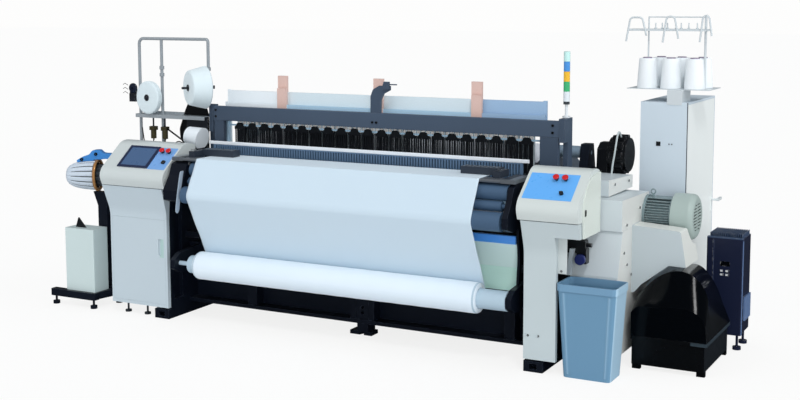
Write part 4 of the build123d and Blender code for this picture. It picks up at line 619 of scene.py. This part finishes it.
def curtain(name, back, bar, body):
    """Blued strips hung every few millimetres along a frame, from just under its bar down to the lower bar."""
    x = np.arange(-1.13, 1.13, HEDDLE_PITCH)
    sway = 0.0012 * np.sin(37 * x) + 0.0008 * np.sin(91 * x + 1)
    places = np.stack([x, back + sway, np.full_like(x, bar - HEDDLE_HALF)], -1)
    clad(heddle_steel, "heddle_steel", bars(name, places, (0.0024, 0.0003, HEDDLE_HALF), body))
    return len(x)


curtain("front_curtain", 0.2635, 1.286, "harness_front")
print("strips in each curtain:", curtain("rear_curtain", 0.2935, 1.371, "harness_rear"))

# %% [markdown]
# ## Controls
# The screen sits in a dark bezel, the keys are on blue plates, and each stop button is a red mushroom on a
# black collar. The plates lie on a slope, so their colour boxes are measured along it.

# %% The panel's slope
PANEL_FOOT = (0.0, -0.363, 1.038)
PANEL_TILT = atan2(0.134, 0.173)
SLOPE = ((1, 0, 0), (0, cos(PANEL_TILT), sin(PANEL_TILT)), (0, -sin(PANEL_TILT), cos(PANEL_TILT)))


def panel_finish(name, colour, zones=()):
    """A plastic finish with zones in the slope's own across, up and out numbers, each (low, high, colour)."""
    material = skin_finish(name, colour, roughness=0.3, coat=0.5, wear=0.0, dust=0.0, clouds=0.03, bump=0.02)
    tree = material.node_tree
    shifted = vector(tree, "SUBTRACT", put(tree, "TexCoord", out="Object"), PANEL_FOOT)
    slope = [vector(tree, "DOT_PRODUCT", shifted, way) for way in SLOPE]
    for low, high, tint in zones:
        mask = 1.0
        for axis, below, above in zip(slope, low, high):
            mask = (axis > below) * (axis < above) * mask
        colour = blend_colour(tree, mask, colour, tint)
    deliver(tree, next(n for n in tree.nodes if n.type == "GROUP" and n.node_tree == skin), Colour=colour)
    return material


dress(panel_finish("screen_and_keys", srgb(34, 44, 74),
                   [((-1.6585, 0.0195, 0.0035), (-1.4425, 0.1905, 0.0062), srgb(72, 100, 138)),
                    ((-1.4205, -0.01, -0.01), (-1.2, 0.3, 0.0025), srgb(120, 168, 226))]), "left_panel")
dress(panel_finish("blue_plate", srgb(100, 176, 246)), "right_key_plate")
dress(panel_finish("red_caps", srgb(204, 30, 34), [((-2, -1, -0.05), (2, 1, 0.0202), BLACK)]), "left_stop_button",
      "left_emergency_button", "right_stop_button", "right_emergency_button")
black_plastic = skin_finish("black_plastic", BLACK, roughness=0.42, wear=0.1)
dress(black_plastic, "left_mode_key", "right_selector_knob")
print("panel slope", round(PANEL_TILT * 180 / pi, 1), "degrees")

# %% [markdown]
# ## Drive side
# The shedding unit is gloss black and mirrors the room. The motor is cast, its cowl pressed sheet; the drive
# unit is navy with grey fins; the bin is moulded plastic.

# %% Drive side finishes
dress(skin_finish("gloss_black", srgb(3, 5, 8), roughness=0.12, wear=0.02, dust=0.0, clouds=0.3, bump=0.004, peel=60,
                  shine_level=0.1), "shedding_unit_cover")
dress(skin_finish("drive_black", srgb(12, 14, 18), roughness=0.4, wear=0.2, dust=0.0, shine_level=0.25),
      "let_off_drive")
# The right face of the base is painted slate, lighter than its black front: painted light from the right. The thin band
# above it is lighter still.
dress(skin_finish("base_black", srgb(6, 8, 11), [box((2.2795, -1, 0.03), (3, 2, 0.1826), 20, 26, 32, roughness=0.35),
                                                 box((2.2, -1, 0.183), (3, 2, 0.2055), 46, 58, 66, roughness=0.3)],
                  roughness=0.3, wear=0.0, dust=0.0, shine_level=0.3), "shedding_unit_base")
dress(skin_finish("motor_paint", srgb(120, 140, 144), [box((1.971, 0, 0.5), (2.2, 1, 1.2), 164, 180, 176)], dust=0.03),
      "motor")
keys = [box((2.2042 + 0.033 * i, 0.68, 0.467 + 0.024 * j), (2.2208 + 0.033 * i, 0.70, 0.4795 + 0.024 * j),
            206, 210, 214) for i in range(2) for j in range(2)]
# The case's right side and top are painted lighter copies of its navy front: painted light for faces lit from the right
# and from above.
dress(skin_finish("inverter_case", srgb(24, 31, 56),
                  [box((2.3395, -0.315, 0.05), (2.4, 1.2, 0.69), 96, 122, 164, 0.1),
                   box((2.1, -0.315, 0.6995), (2.4, 1.2, 0.9), 60, 78, 106, 0.1),
                   box((2.160, 0.675, 0.11), (2.1635, 0.687, 0.69), 92, 104, 136),
                   box((2.2035, 0.68, 0.526), (2.2635, 0.70, 0.5575), 6, 8, 12, roughness=0.1), *keys],
                  roughness=0.36, dust=0.0, shine_level=0.4), "drive_inverter")
dress(skin_finish("wheel_blue", srgb(26, 38, 98), roughness=0.3, coat=0.3, dust=0.0), "selvedge_wheel")
dress(skin_finish("selvedge_black", BLACK, [box((1.4, -0.2, 0.5), (1.6, -0.1387, 0.7301), 178, 190, 196)],
                  roughness=0.35), "selvedge_unit")
LAMP_FOOT, LAMP_STEP = 1.546, 0.0615
lamps = ((226, 234, 240), (70, 180, 120), (242, 190, 60), (80, 150, 220), (200, 240, 236))
lamp_zones = [box((1.3, 0.2, LAMP_FOOT + i * LAMP_STEP), (1.4, 0.4, LAMP_FOOT + (i + 1) * LAMP_STEP), *tint,
                  roughness=0.18) for i, tint in enumerate(lamps)]
lamp_zones.append(box((1.3, 0.2, 1.5275), (1.4, 0.4, LAMP_FOOT), 60, 66, 72))
dress(skin_finish("signal_stack", srgb(226, 232, 236), lamp_zones, roughness=0.3, coat=0.5, wear=0.0), "signal_tower")
print("drive side dressed, lamps:", len(lamps))

# %% Bin plastic with two moulded beads
# The rim band is painted a little lighter than the body: painted light to offset the shade it sits in.
bin_finish = skin_finish("bin_plastic", srgb(104, 146, 176), [box((1.4, -1, 0.5099), (2, 1, 0.60), 112, 152, 182)],
                         roughness=0.4, wear=0.04, clouds=0.04, dust=0.0)
tree = bin_finish.node_tree
across, _, height = axes(tree, put(tree, "TexCoord", out="Object"))
side = (across - (height * 0.0078 + 1.688)) / (height * 0.0667 + 0.142)
bead = calc(tree, "SMOOTH_MIN", abs(abs(side) - 0.78) * 16.0, 1.0, 0.4)
ridge = (1.0 - bead) * ((height < 0.50) * (height > 0.02))
shader = tree.nodes["Principled BSDF"]
# The right flank is painted lighter: painted light standing in for the side light that other parts shade off it.
painted = blend_colour(tree, (side > 0.975) * 0.8, shader.inputs["Base Color"].links[0].from_socket,
                       srgb(176, 208, 228))
# The beads get a paler colour as well as a bump: a painted highlight along them.
deliver(tree, shader, Base_Color=blend_colour(tree, ridge * 0.42, painted, srgb(168, 204, 228)))
lift(tree, shader, ridge, 0.9, 0.004)
dress(bin_finish, "waste_bin")
print("bin:", bin_finish.name)

# %% Screws, plates and levers, and the cable of the let-off
COVER_SIDE, TOP_SIDE, LEG_FRONT, ARM_SIDE, CHUTE_FRONT = 1.799, 1.682, -0.3155, -1.1117, -0.2848
screw_steel = turned_finish("screw_steel", srgb(120, 124, 126), (20, 20, 20), metal=0.6, roughness=0.4)
clad(screw_steel, "bright_steel",
     heads("cover_screws", [(COVER_SIDE, *at) for at in ((0.058, 0.849), (0.312, 0.917), (0.015, 0.690), (0.075, 0.610),
                                                         (0.159, 0.536))], (1, 0, 0), 0.0085, 0.004),
     heads("top_cover_screws", [(TOP_SIDE, 0.183, 1.067), (TOP_SIDE, 0.46, 1.055)], (1, 0, 0), 0.0085, 0.004),
     heads("leg_cover_screws", [(1.331, LEG_FRONT, 0.219), (1.395, LEG_FRONT, 0.221)], (0, -1, 0), 0.007, 0.003))
rubber = skin_finish("black_rubber", srgb(14, 15, 18), roughness=0.5, wear=0.0, dust=0.0, shine_level=0.3)
pale_cable = skin_finish("pale_cable", srgb(186, 196, 198), roughness=0.5, wear=0.0, dust=0.0)
lever_grey = skin_finish("lever_grey", srgb(150, 166, 182), roughness=0.36, dust=0.0)
hose("let_off_cable", [(1.572, 0.640, 1.300), (1.574, 0.600, 1.345), (1.578, 0.545, 1.335), (1.576, 0.520, 1.270),
                       (1.568, 0.516, 1.200), (1.556, 0.512, 1.130), (1.556, 0.500, 1.070)], 0.012, pale_cable)
for finish, slot, title, outline, span, plane, how in (
        (rubber, "black_plastic", "end_cover_latch", [(-0.305, 0.944), (-0.281, 0.944), (-0.281, 0.982),
                                                      (-0.305, 0.982)],
         (1.6655, 1.6690), "yz", dict(edge=0.001, count=4, share=0.4)),
        (frame_paint, "frame_paint", "roll_arm_link", [(-0.205, 0.482), (-0.168, 0.482), (-0.150, 0.600),
                                                       (-0.160, 0.835), (-0.212, 0.835), (-0.186, 0.640)],
         (1.2085, 1.2245), "yz", dict(count=4)),
        (frame_paint, "frame_paint", "side_shield", [(1.080, 0.520), (1.301, 0.520), (1.301, 0.695), (1.080, 0.695)],
         (-0.0100, -0.0065), "xz", {}),
        (lever_grey, "bright_steel", "roller_edge_strip", [(-0.370, 1.045), (-0.404, 1.045), (-0.440, 0.900),
                                                           (-0.462, 0.785), (-0.445, 0.768), (-0.424, 0.785),
                                                           (-0.405, 0.905)],
         (-1.1115, -1.1050), "yz", dict(edge=0.001, count=3)),
        # A dark strip hung behind the gap under the guard: painted shade where the background would show through.
        (frame_paint, "frame_paint", "gap_shade_strip", [(0.70, 0.345), (1.300, 0.345), (1.300, 0.450), (0.70, 0.450)],
         (0.0305, 0.0345), "xz", {}),
        (head_paint, "cover_paint", "chute_guard", [(1.470, 0.596), (1.553, 0.596), (1.556, 0.640), (1.556, 0.830),
                                                    (1.470, 0.830)], (CHUTE_FRONT, -0.2815), "xz", {})):
    clad(finish, slot, plate(title, outline, span, plane, **how))
clad(screw_steel, "bright_steel",
     heads("arm_bolts", [(ARM_SIDE, *at) for at in ((-0.300, 1.085), (-0.230, 0.910), (-0.348, 0.880), (-0.150, 1.075),
                                                    (-0.110, 0.930))], (1, 0, 0), 0.011, 0.006),
     heads("guard_screw", [(1.522, CHUTE_FRONT, 0.612)], (0, -1, 0), 0.007, 0.003))
print("drive side finished")

# %% [markdown]
# ## Weft side
# The feeder is a grey cone behind a brass ring, under an azure arm. The yarn stand is light grey tube, and
# the packages and cones are wound yarn.

# %% Weft side finishes
LOOM_SHIFT = 0.315
FEEDER = np.array((-2.103, 0.250 - LOOM_SHIFT, 0.917))
FEEDER_TURN = radians(23)
WAY = np.array((cos(FEEDER_TURN), sin(FEEDER_TURN), 0))
SHELL = [(-0.236, 0.004), (-0.235, 0.030), (-0.228, 0.052), (-0.212, 0.070), (-0.185, 0.085), (-0.150, 0.095),
         (-0.110, 0.102), (-0.060, 0.107), (-0.024, 0.109), (-0.018, 0.106), (-0.016, 0.060)]
feeder_shell = lathe("feeder_shell", SHELL, FEEDER, WAY, steps=240, flutes=8, depth=0.07)
clad(skin_finish("feeder_grey", srgb(206, 218, 230), roughness=0.3, metal=0.1, wear=0.1, clouds=0.5, dust=0.0),
     "feeder_metal", feeder_shell)
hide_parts("feeder_body")
clad(black_plastic, "black_plastic",
     lathe("feeder_core", [(along + 0.003, radius * 0.95) for along, radius in SHELL], FEEDER, WAY))
clad(turned_finish("feeder_bronze", srgb(206, 150, 92), (4, 4, 4), metal=0.5, roughness=0.3), "feeder_metal",
     lathe("feeder_ring", [(-0.014, 0.100), (-0.014, 0.114), (-0.011, 0.117), (0.001, 0.117), (0.004, 0.114),
                           (0.004, 0.100), (-0.014, 0.100)], FEEDER, WAY, steps=96))
clad(turned_finish("feeder_drum_steel", srgb(84, 92, 100), (4, 4, 4), metal=0.5, roughness=0.3), "feeder_metal",
     lathe("feeder_drum", [(-0.016, 0.060), (-0.012, 0.082), (0.070, 0.080), (0.082, 0.066), (0.088, 0.030),
                           (0.088, 0.004)], FEEDER, WAY, steps=120, flutes=6, depth=0.16))
feeder_arm = plate("feeder_arm", [(-0.150, 0.094), (-0.156, 0.108), (-0.110, 0.136), (-0.060, 0.152), (-0.038, 0.182),
                                  (0.016, 0.186), (0.042, 0.160), (0.135, 0.158), (0.170, 0.142), (0.165, 0.120),
                                  (0.050, 0.120), (0.025, 0.1155), (-0.022, 0.1155), (-0.030, 0.106), (-0.090, 0.104)],
                   (-0.030, 0.030), "xz", edge=0.006, count=3)
feeder_arm.data.transform(Matrix.Translation(FEEDER) @ Matrix.Rotation(FEEDER_TURN, 4, "Z"))
clad(skin_finish("feeder_azure", srgb(58, 132, 204), roughness=0.34, coat=0.3, wear=0.05, dust=0.0), "feeder_metal",
     feeder_arm)
TO_FRONT = np.array((WAY[1], -WAY[0], 0))
knob_at = [FEEDER + WAY * along + (0, 0, up) + 0.030 * TO_FRONT
           for along, up in ((-0.01, 0.155), (-0.115, 0.116), (0.14, 0.138))]
clad(rubber, "feeder_metal", heads("feeder_knobs", knob_at, TO_FRONT, 0.012, 0.010))
dress(skin_finish("box_mint", srgb(198, 214, 214), [((-2.3, -0.3, 0.5621), (-1.9, -0.1, 0.7), BLACK, 0.0, 0.4)],
                  wear=0.15), "feeder_box")
dress(skin_finish("tube_grey", srgb(162, 170, 176), roughness=0.3, metal=0.2, wear=0.1), "creel_frame")
dress(skin_finish("creel_black", srgb(30, 34, 42), [box((-1.5, 0.0, 1.14), (-1.25, 0.17, 1.3), 226, 234, 240, 0.0, 0.7),
                                                    box((-1.9, 0.1, 1.17), (-1.6, 0.18, 1.27), 84, 78, 54, 0.5, 0.35)],
                  roughness=0.38), "creel_fittings")
dress(skin_finish("rack_grey", srgb(206, 214, 218), roughness=0.36, wear=0.1, dust=0.0), "cone_rack")
print("feeder at", FEEDER.round(3))

# %% Yarn stand: black shield, tension head, air hoses
clad(rubber, "black_plastic",
     plate("creel_shield", [(-1.310, 1.070), (-1.403, 1.062), (-1.520, 1.105), (-1.566, 1.187), (-1.572, 1.255),
                            (-1.549, 1.311), (-1.516, 1.398), (-1.474, 1.471), (-1.400, 1.440), (-1.310, 1.406)],
           (0.1965, 0.2005), "xz", count=4))
clad(skin_finish("head_blue_black", srgb(18, 26, 46), roughness=0.3, coat=0.3, wear=0.1, dust=0.0), "black_plastic",
     lathe("tension_disc", [(-0.012, 0.006), (-0.011, 0.030), (-0.004, 0.036), (0.0, 0.020), (0.004, 0.036),
                            (0.011, 0.030), (0.012, 0.006)], (-1.930, 0.128, 1.540), (0, 1, 0), steps=48))
clad(rubber, "black_plastic",
     *(tube(f"yarn_eye_{i}", [(-1.975, 0.125, 1.50 + 0.03 * i), (-1.990, 0.110, 1.515 + 0.03 * i),
                              (-2.000, 0.100, 1.505 + 0.03 * i)], 0.002) for i in range(3)),
     tube("regulator_rod", [(-1.674, 0.150, 1.271), (-1.60, 0.146, 1.231), (-1.53, 0.142, 1.194),
                            (-1.464, 0.140, 1.158)], 0.006))
hose("air_hose_left", [(-1.770, 0.150, 1.176), (-1.772, 0.148, 1.140), (-1.800, 0.140, 1.112), (-1.845, 0.142, 1.130),
                       (-1.872, 0.160, 1.190), (-1.895, 0.178, 1.250)], 0.008, rubber)
hose("air_hose_right", [(-1.666, 0.150, 1.176), (-1.664, 0.146, 1.140), (-1.630, 0.136, 1.116), (-1.580, 0.128, 1.140),
                        (-1.530, 0.120, 1.176), (-1.480, 0.112, 1.165), (-1.440, 0.112, 1.125), (-1.436, 0.120, 1.072)],
     0.008, rubber)
print("weft side finished")

# %% [markdown]
# ## Woven cloth
# The cloth is one thin sheet under tension: flat over the breast bar, straight to the guide roller, round
# its front, and down to the back of the roll. It is drawn as the same tangent lines that the real sheet
# takes, with a slight slackness at its edges, and its UV map is its own length and width, for the weave.

# %% Cloth path
NOSE, NOSE_REACH = (0.008 - LOOM_SHIFT, 1.112), 0.0111
GUIDE, GUIDE_REACH = (-0.060 - LOOM_SHIFT, 0.885), 0.0581
ROLL, ROLL_REACH = (0.015 - LOOM_SHIFT, 0.402), 0.0936
CLOTH_LEFT, CLOTH_RIGHT = -1.040, 1.015


def touch(centre, reach, turn):
    """centre + reach * (cos turn, sin turn)."""
    return np.array((centre[0] + reach * cos(turn), centre[1] + reach * sin(turn)))


def taut_line(first, near, second, far):
    """The straight run between two circles: turn = direction of the centres + arccos((near - far) / distance)."""
    across, up = second[0] - first[0], second[1] - first[1]
    turn = atan2(up, across) + acos((near - far) / hypot(across, up))
    turn = (turn + pi) % (2 * pi) - pi
    return touch(first, near, turn), touch(second, far, turn), turn


def arc(centre, reach, start, stop, count):
    """Points on a circle between two turns."""
    turn = np.linspace(start, stop, count)
    return np.stack([centre[0] + reach * np.cos(turn), centre[1] + reach * np.sin(turn)], -1)


def straight(first, last, count):
    """Evenly spaced points strictly between two places."""
    share = np.linspace(0, 1, count + 2)[1:-1, None]
    return np.asarray(first) * (1 - share) + np.asarray(last) * share


leave, meet, turn_one = taut_line(NOSE, -NOSE_REACH, GUIDE, -GUIDE_REACH)
part, land, turn_two = taut_line(GUIDE, -GUIDE_REACH, ROLL, ROLL_REACH)
cloth_path = np.concatenate([
    straight((0.300 - LOOM_SHIFT - 0.0005, NOSE[1] + NOSE_REACH), (NOSE[0], NOSE[1] + NOSE_REACH), 24),
    arc(NOSE, NOSE_REACH, pi / 2, turn_one + pi, 10), straight(leave, meet, 40),
    arc(GUIDE, GUIDE_REACH, turn_one + pi, turn_two + pi, 24), straight(part, land, 60),
    arc(ROLL, ROLL_REACH, turn_two, turn_two - radians(50), 14)])


def path_run(path):
    """How far each point lies along its path."""
    return np.concatenate([[0], np.cumsum(np.linalg.norm(np.diff(path, axis=0), axis=1))])


run = path_run(cloth_path)
print("cloth length", round(run[-1], 3), "m")

# %% Cloth finish
def cloth_finish(name, colour):
    """White cotton: a faint slow tint, a plain weave bump and a soft sheen."""
    material, tree, shader = blank(name)
    cell = put(tree, "Group", node_tree=weave, Threads=2600.0).outputs
    deliver(tree, shader, Roughness=0.82, Sheen_Weight=0.3,
            Base_Color=blend_colour(tree, Wire(tree, cell["Tone"]) * 0.35, colour, srgb(196, 216, 236)))
    lift(tree, shader, cell["Height"], 0.12, 0.0004)
    return material


def stretched(name, path, run, x, swell, finish, slot, node):
    """A sheet in the place of a CAD solid: a path carried across x, mapped by its own width and length."""
    points = np.empty((len(path), len(x), 3))
    points[..., 0] = x
    points[..., 1:] = path[:, None] + swell
    sheet = surface(name, points, "loom", uv=np.stack(np.broadcast_arrays(x[None], run[:, None]), -1))
    thick = sheet.modifiers.new("thickness", "SOLIDIFY")
    thick.thickness = 0.0012
    thick.offset = 0
    clad(finish, slot, sheet)
    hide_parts(node)
    print(name, "faces", len(sheet.data.polygons), "length", round(float(run[-1]), 3), "m")


def corners_of(mesh):
    """The number of the point at each corner of each face."""
    corner = np.empty(len(mesh.loops), np.int32)
    mesh.loops.foreach_get("vertex_index", corner)
    return corner


print("cloth finish ready")

# %% Cloth sheet
def cloth_swell(x):
    """Small ripples square to the path, which fade to nothing where the sheet is held."""
    rise = np.gradient(cloth_path, axis=0)
    rise /= np.linalg.norm(rise, axis=1)[:, None]
    normal = np.stack([-rise[:, 1], rise[:, 0]], -1)
    free = sum(np.sin(np.clip((run - run[start]) / (run[stop] - run[start]), 0, 1) * pi) ** 2
               for start, stop in ((34, 74), (97, 157)))
    edge = np.exp(-np.minimum(x - CLOTH_LEFT, CLOTH_RIGHT - x) / 0.05)
    ripple = 0.0012 * np.sin(9 * x + 5.2 * run[:, None]) + 0.0007 * np.sin(31 * x - 11 * run[:, None] + 0.7)
    swell = free[:, None] * (ripple + 0.0025 * edge * np.sin(23 * run)[:, None])
    return swell[..., None] * normal[:, None]


x = CLOTH_LEFT + (CLOTH_RIGHT - CLOTH_LEFT) * np.linspace(0, 1, 181)
stretched("woven_cloth", cloth_path, run, x, cloth_swell(x), cloth_finish("woven_white", srgb(200, 218, 229)), "cloth",
          "cloth_sheet")

# %% Wound cloth on the roll
CLOTH_RADIUS, CORE_RADIUS, SHOULDER = 0.0930, 0.062, 0.006
left, right = CLOTH_LEFT - 0.0015, CLOTH_RIGHT + 0.0015
along = np.linspace(left, right, 120)
end = np.minimum(along - left, right - along) / SHOULDER
bulge = CLOTH_RADIUS - SHOULDER * (1 - np.sqrt(np.clip(1 - (1 - np.clip(end, 0, 1)) ** 2, 0, 1)))
bulge += 0.0004 * np.sin(along * 41) * np.clip(end, 0, 1)
profile = [(left, CORE_RADIUS), *zip(along, bulge), (right, CORE_RADIUS)]
roll = lathe("wound_cloth", profile, np.array((0, *ROLL)), (1, 0, 0), "roll", steps=96)
spot = places_of(roll.data)
turn = np.arctan2(spot[:, 2] - ROLL[1], spot[:, 1] - ROLL[0]) * CLOTH_RADIUS
roll_map = np.stack([spot[:, 0], turn], -1)[corners_of(roll.data)]
roll.data.uv_layers.new(name="cloth_map").data.foreach_set("uv", roll_map.reshape(-1))
# The roll and the sheet are one cloth given two colours, the roll's brighter: painted light on the roll.
clad(cloth_finish("rolled_white", srgb(228, 240, 248)), "cloth", roll)
dress(turned_finish("core_steel", srgb(184, 207, 222), (1, 20, 20), metal=0.1, roughness=0.45), "cloth_roll")

# %% [markdown]
# ## Warp
# Behind the harness thousands of ends come off the warp beam. They are one sheet here, with the ends drawn
# on it as fine lines that run with the sheet.

# %% Warp sheet
REST, REST_REACH = (1.000 - LOOM_SHIFT, 1.188), 0.0401
BEAM, BEAM_REACH = (1.190 - LOOM_SHIFT, 0.760), 0.3011
WARP_END = (0.635 - LOOM_SHIFT, 1.142)
rise, ride_on, turn_up = taut_line(BEAM, -BEAM_REACH, REST, -REST_REACH)
slide_off, stop, turn_down = taut_line(REST, -REST_REACH, WARP_END, -0.0011)
warp_path = np.concatenate([straight(rise, ride_on, 20), arc(REST, REST_REACH, turn_up + pi, turn_down + pi, 14),
                            straight(slide_off, stop, 16)])


def thread_finish(name, colour, pitch, groove_shade=0.72):
    """Parallel threads: a rounded ridge every pitch across the sheet, with painted shade darkening the sheet between
    ridges.
    """
    material, tree, shader = blank(name)
    place = put(tree, "TexCoord", out="Object")
    wave = abs(calc(tree, "SINE", axes(tree, place)[0] * (pi / pitch)))
    slow = put(tree, "TexNoise", out="Fac", Vector=place, Scale=7.0, Detail=3.0)
    level = wave * (1 - groove_shade) + (slow * 0.12 + (groove_shade - 0.06))
    deliver(tree, shader, Base_Color=scaled(tree, colour[:3], level), Roughness=0.75, Sheen_Weight=0.2)
    lift(tree, shader, wave, 0.35, 0.0006)
    return material


warp_threads = thread_finish("warp_threads", srgb(226, 232, 240), 0.004)
stretched("warp_ends", warp_path, path_run(warp_path), np.linspace(-1.12, 1.12, 121), 0.0, warp_threads, "warp",
          "warp_sheet")
dress(skin_finish("warp_flange", srgb(120, 132, 146), roughness=0.4, metal=0.2, wear=0.4), "warp_beam")
clad(warp_threads, "warp",
     lathe("wound_warp", [(-1.1195, 0.2985), (-1.1195, 0.3008), (1.1195, 0.3008), (1.1195, 0.2985)],
           np.array((0, *BEAM)), (1, 0, 0), "beam", steps=128))

# %% [markdown]
# ## Packages and cones
# Wound yarn lies in crossing helices. Each package is turned from its outline, and the finish draws the
# crossing threads from the angle round the axis and the way along it.

# %% Wound yarn
def yarn_finish(name, thread, hollow_shade):
    """Cross-wound yarn: two slanted thread waves on the piece's own map of angle and height, with painted shade between
    the threads.
    """
    material, tree, shader = blank(name)
    around, along, _ = axes(tree, put(tree, "UVMap", out="UV", uv_map="cloth_map"))
    waves = [abs(calc(tree, "SINE", (around * slant + along) * 1250.0)) for slant in (0.35, -0.35)]
    height = calc(tree, "MAXIMUM", *waves)
    deliver(tree, shader, Base_Color=blend_colour(tree, height * 0.5, hollow_shade, thread), Roughness=0.85, Sheen_Weight=0.3)
    lift(tree, shader, height, 0.3, 0.0008)
    return material


yarn = yarn_finish("wound_yarn", srgb(250, 253, 254), srgb(230, 238, 243))
package_yarn = yarn_finish("package_yarn", srgb(226, 240, 244), srgb(206, 220, 226))


def wound(name, profile, origin, direction, body, steps=72, finish=yarn):
    """A lathe whose map is (angle times radius, distance along the outline)."""
    piece = lathe(name, profile, origin, direction, body, steps=steps)
    far = path_run(profile)
    mesh = piece.data
    ring, spot = np.divmod(corners_of(mesh), len(profile))
    last_row = np.arange(len(ring)) // 4 >= len(mesh.polygons) - (len(profile) - 1)
    around = np.where(last_row & (ring == 0), steps, ring) / steps * 2 * pi * profile[:, 1].max()
    place = np.stack([around, far[spot]], -1).reshape(-1).astype(np.float32)
    mesh.uv_layers.new(name="cloth_map").data.foreach_set("uv", place)
    clad(finish, "yarn", piece)


CONE_SEAT = 1.610
cone_outline = rounded([(0.001, 0.030), (0.0, 0.060), (0.001, 0.0645), (0.094, 0.0590), (0.1875, 0.0524),
                        (0.190, 0.048), (0.1885, 0.030)])
for row, (back, first, pitch) in enumerate(((1.112, 1.686, 0.151), (1.262, 1.733, 0.134))):
    for index in range(3):
        wound(f"cone_{row}_{index}", cone_outline, (first + index * pitch, back - LOOM_SHIFT, CONE_SEAT), (0, 0, 1),
              "loom", steps=48)
dress(skin_finish("paper_tube", srgb(150, 140, 160), roughness=0.6), "yarn_cones")


def spindle_way(yaw):
    """The way a spindle points, from a turn about the vertical."""
    return (-sin(radians(yaw)), cos(radians(yaw)), 0)


flat_outline = rounded([(-0.0026, 0.024), (-0.0026, 0.060), (-0.0012, 0.108), (0.004, 0.1186), (0.038, 0.1186),
                        (0.0446, 0.110), (0.0446, 0.014)], share=0.2)
wound("flat_wound", flat_outline, (-1.790, 0.424 - LOOM_SHIFT, 1.476), spindle_way(-10), "package_flat",
      finish=package_yarn)
thick_outline = rounded([(-0.0026, 0.024), (-0.0026, 0.060), (-0.0012, 0.112), (0.004, 0.1208), (0.121, 0.1510),
                         (0.1306, 0.141), (0.1306, 0.014)], share=0.1)
wound("thick_wound", thick_outline, (-1.350, 0.336 - LOOM_SHIFT, 1.565), spindle_way(-34), "package_thick",
      finish=package_yarn)
dress(skin_finish("package_hub", srgb(30, 32, 38), roughness=0.4), "flat_package", "thick_package")
print("packages wound")

# %% Floor
bpy.ops.mesh.primitive_plane_add(size=160, location=(0, 0, 0))
floor = bpy.context.object
floor.name = "floor"
floor_material, tree, shader = blank("floor")
path = put(tree, "LightPath").outputs
deliver(tree, shader, Roughness=0.9, Specular_IOR_Level=0.1,
        Base_Color=blend_colour(tree, path["Is Glossy Ray"], (0.9, 0.9, 0.9, 1), (0.05, 0.055, 0.06, 1)))
white = put(tree, "Emission", Color=STUDIO_WHITE, Strength=1.03)
blend_shaders(tree, Wire(tree, path["Is Camera Ray"]) * 0.82, shader, white, "Material Output")
floor.data.materials.append(floor_material)
print("floor laid")
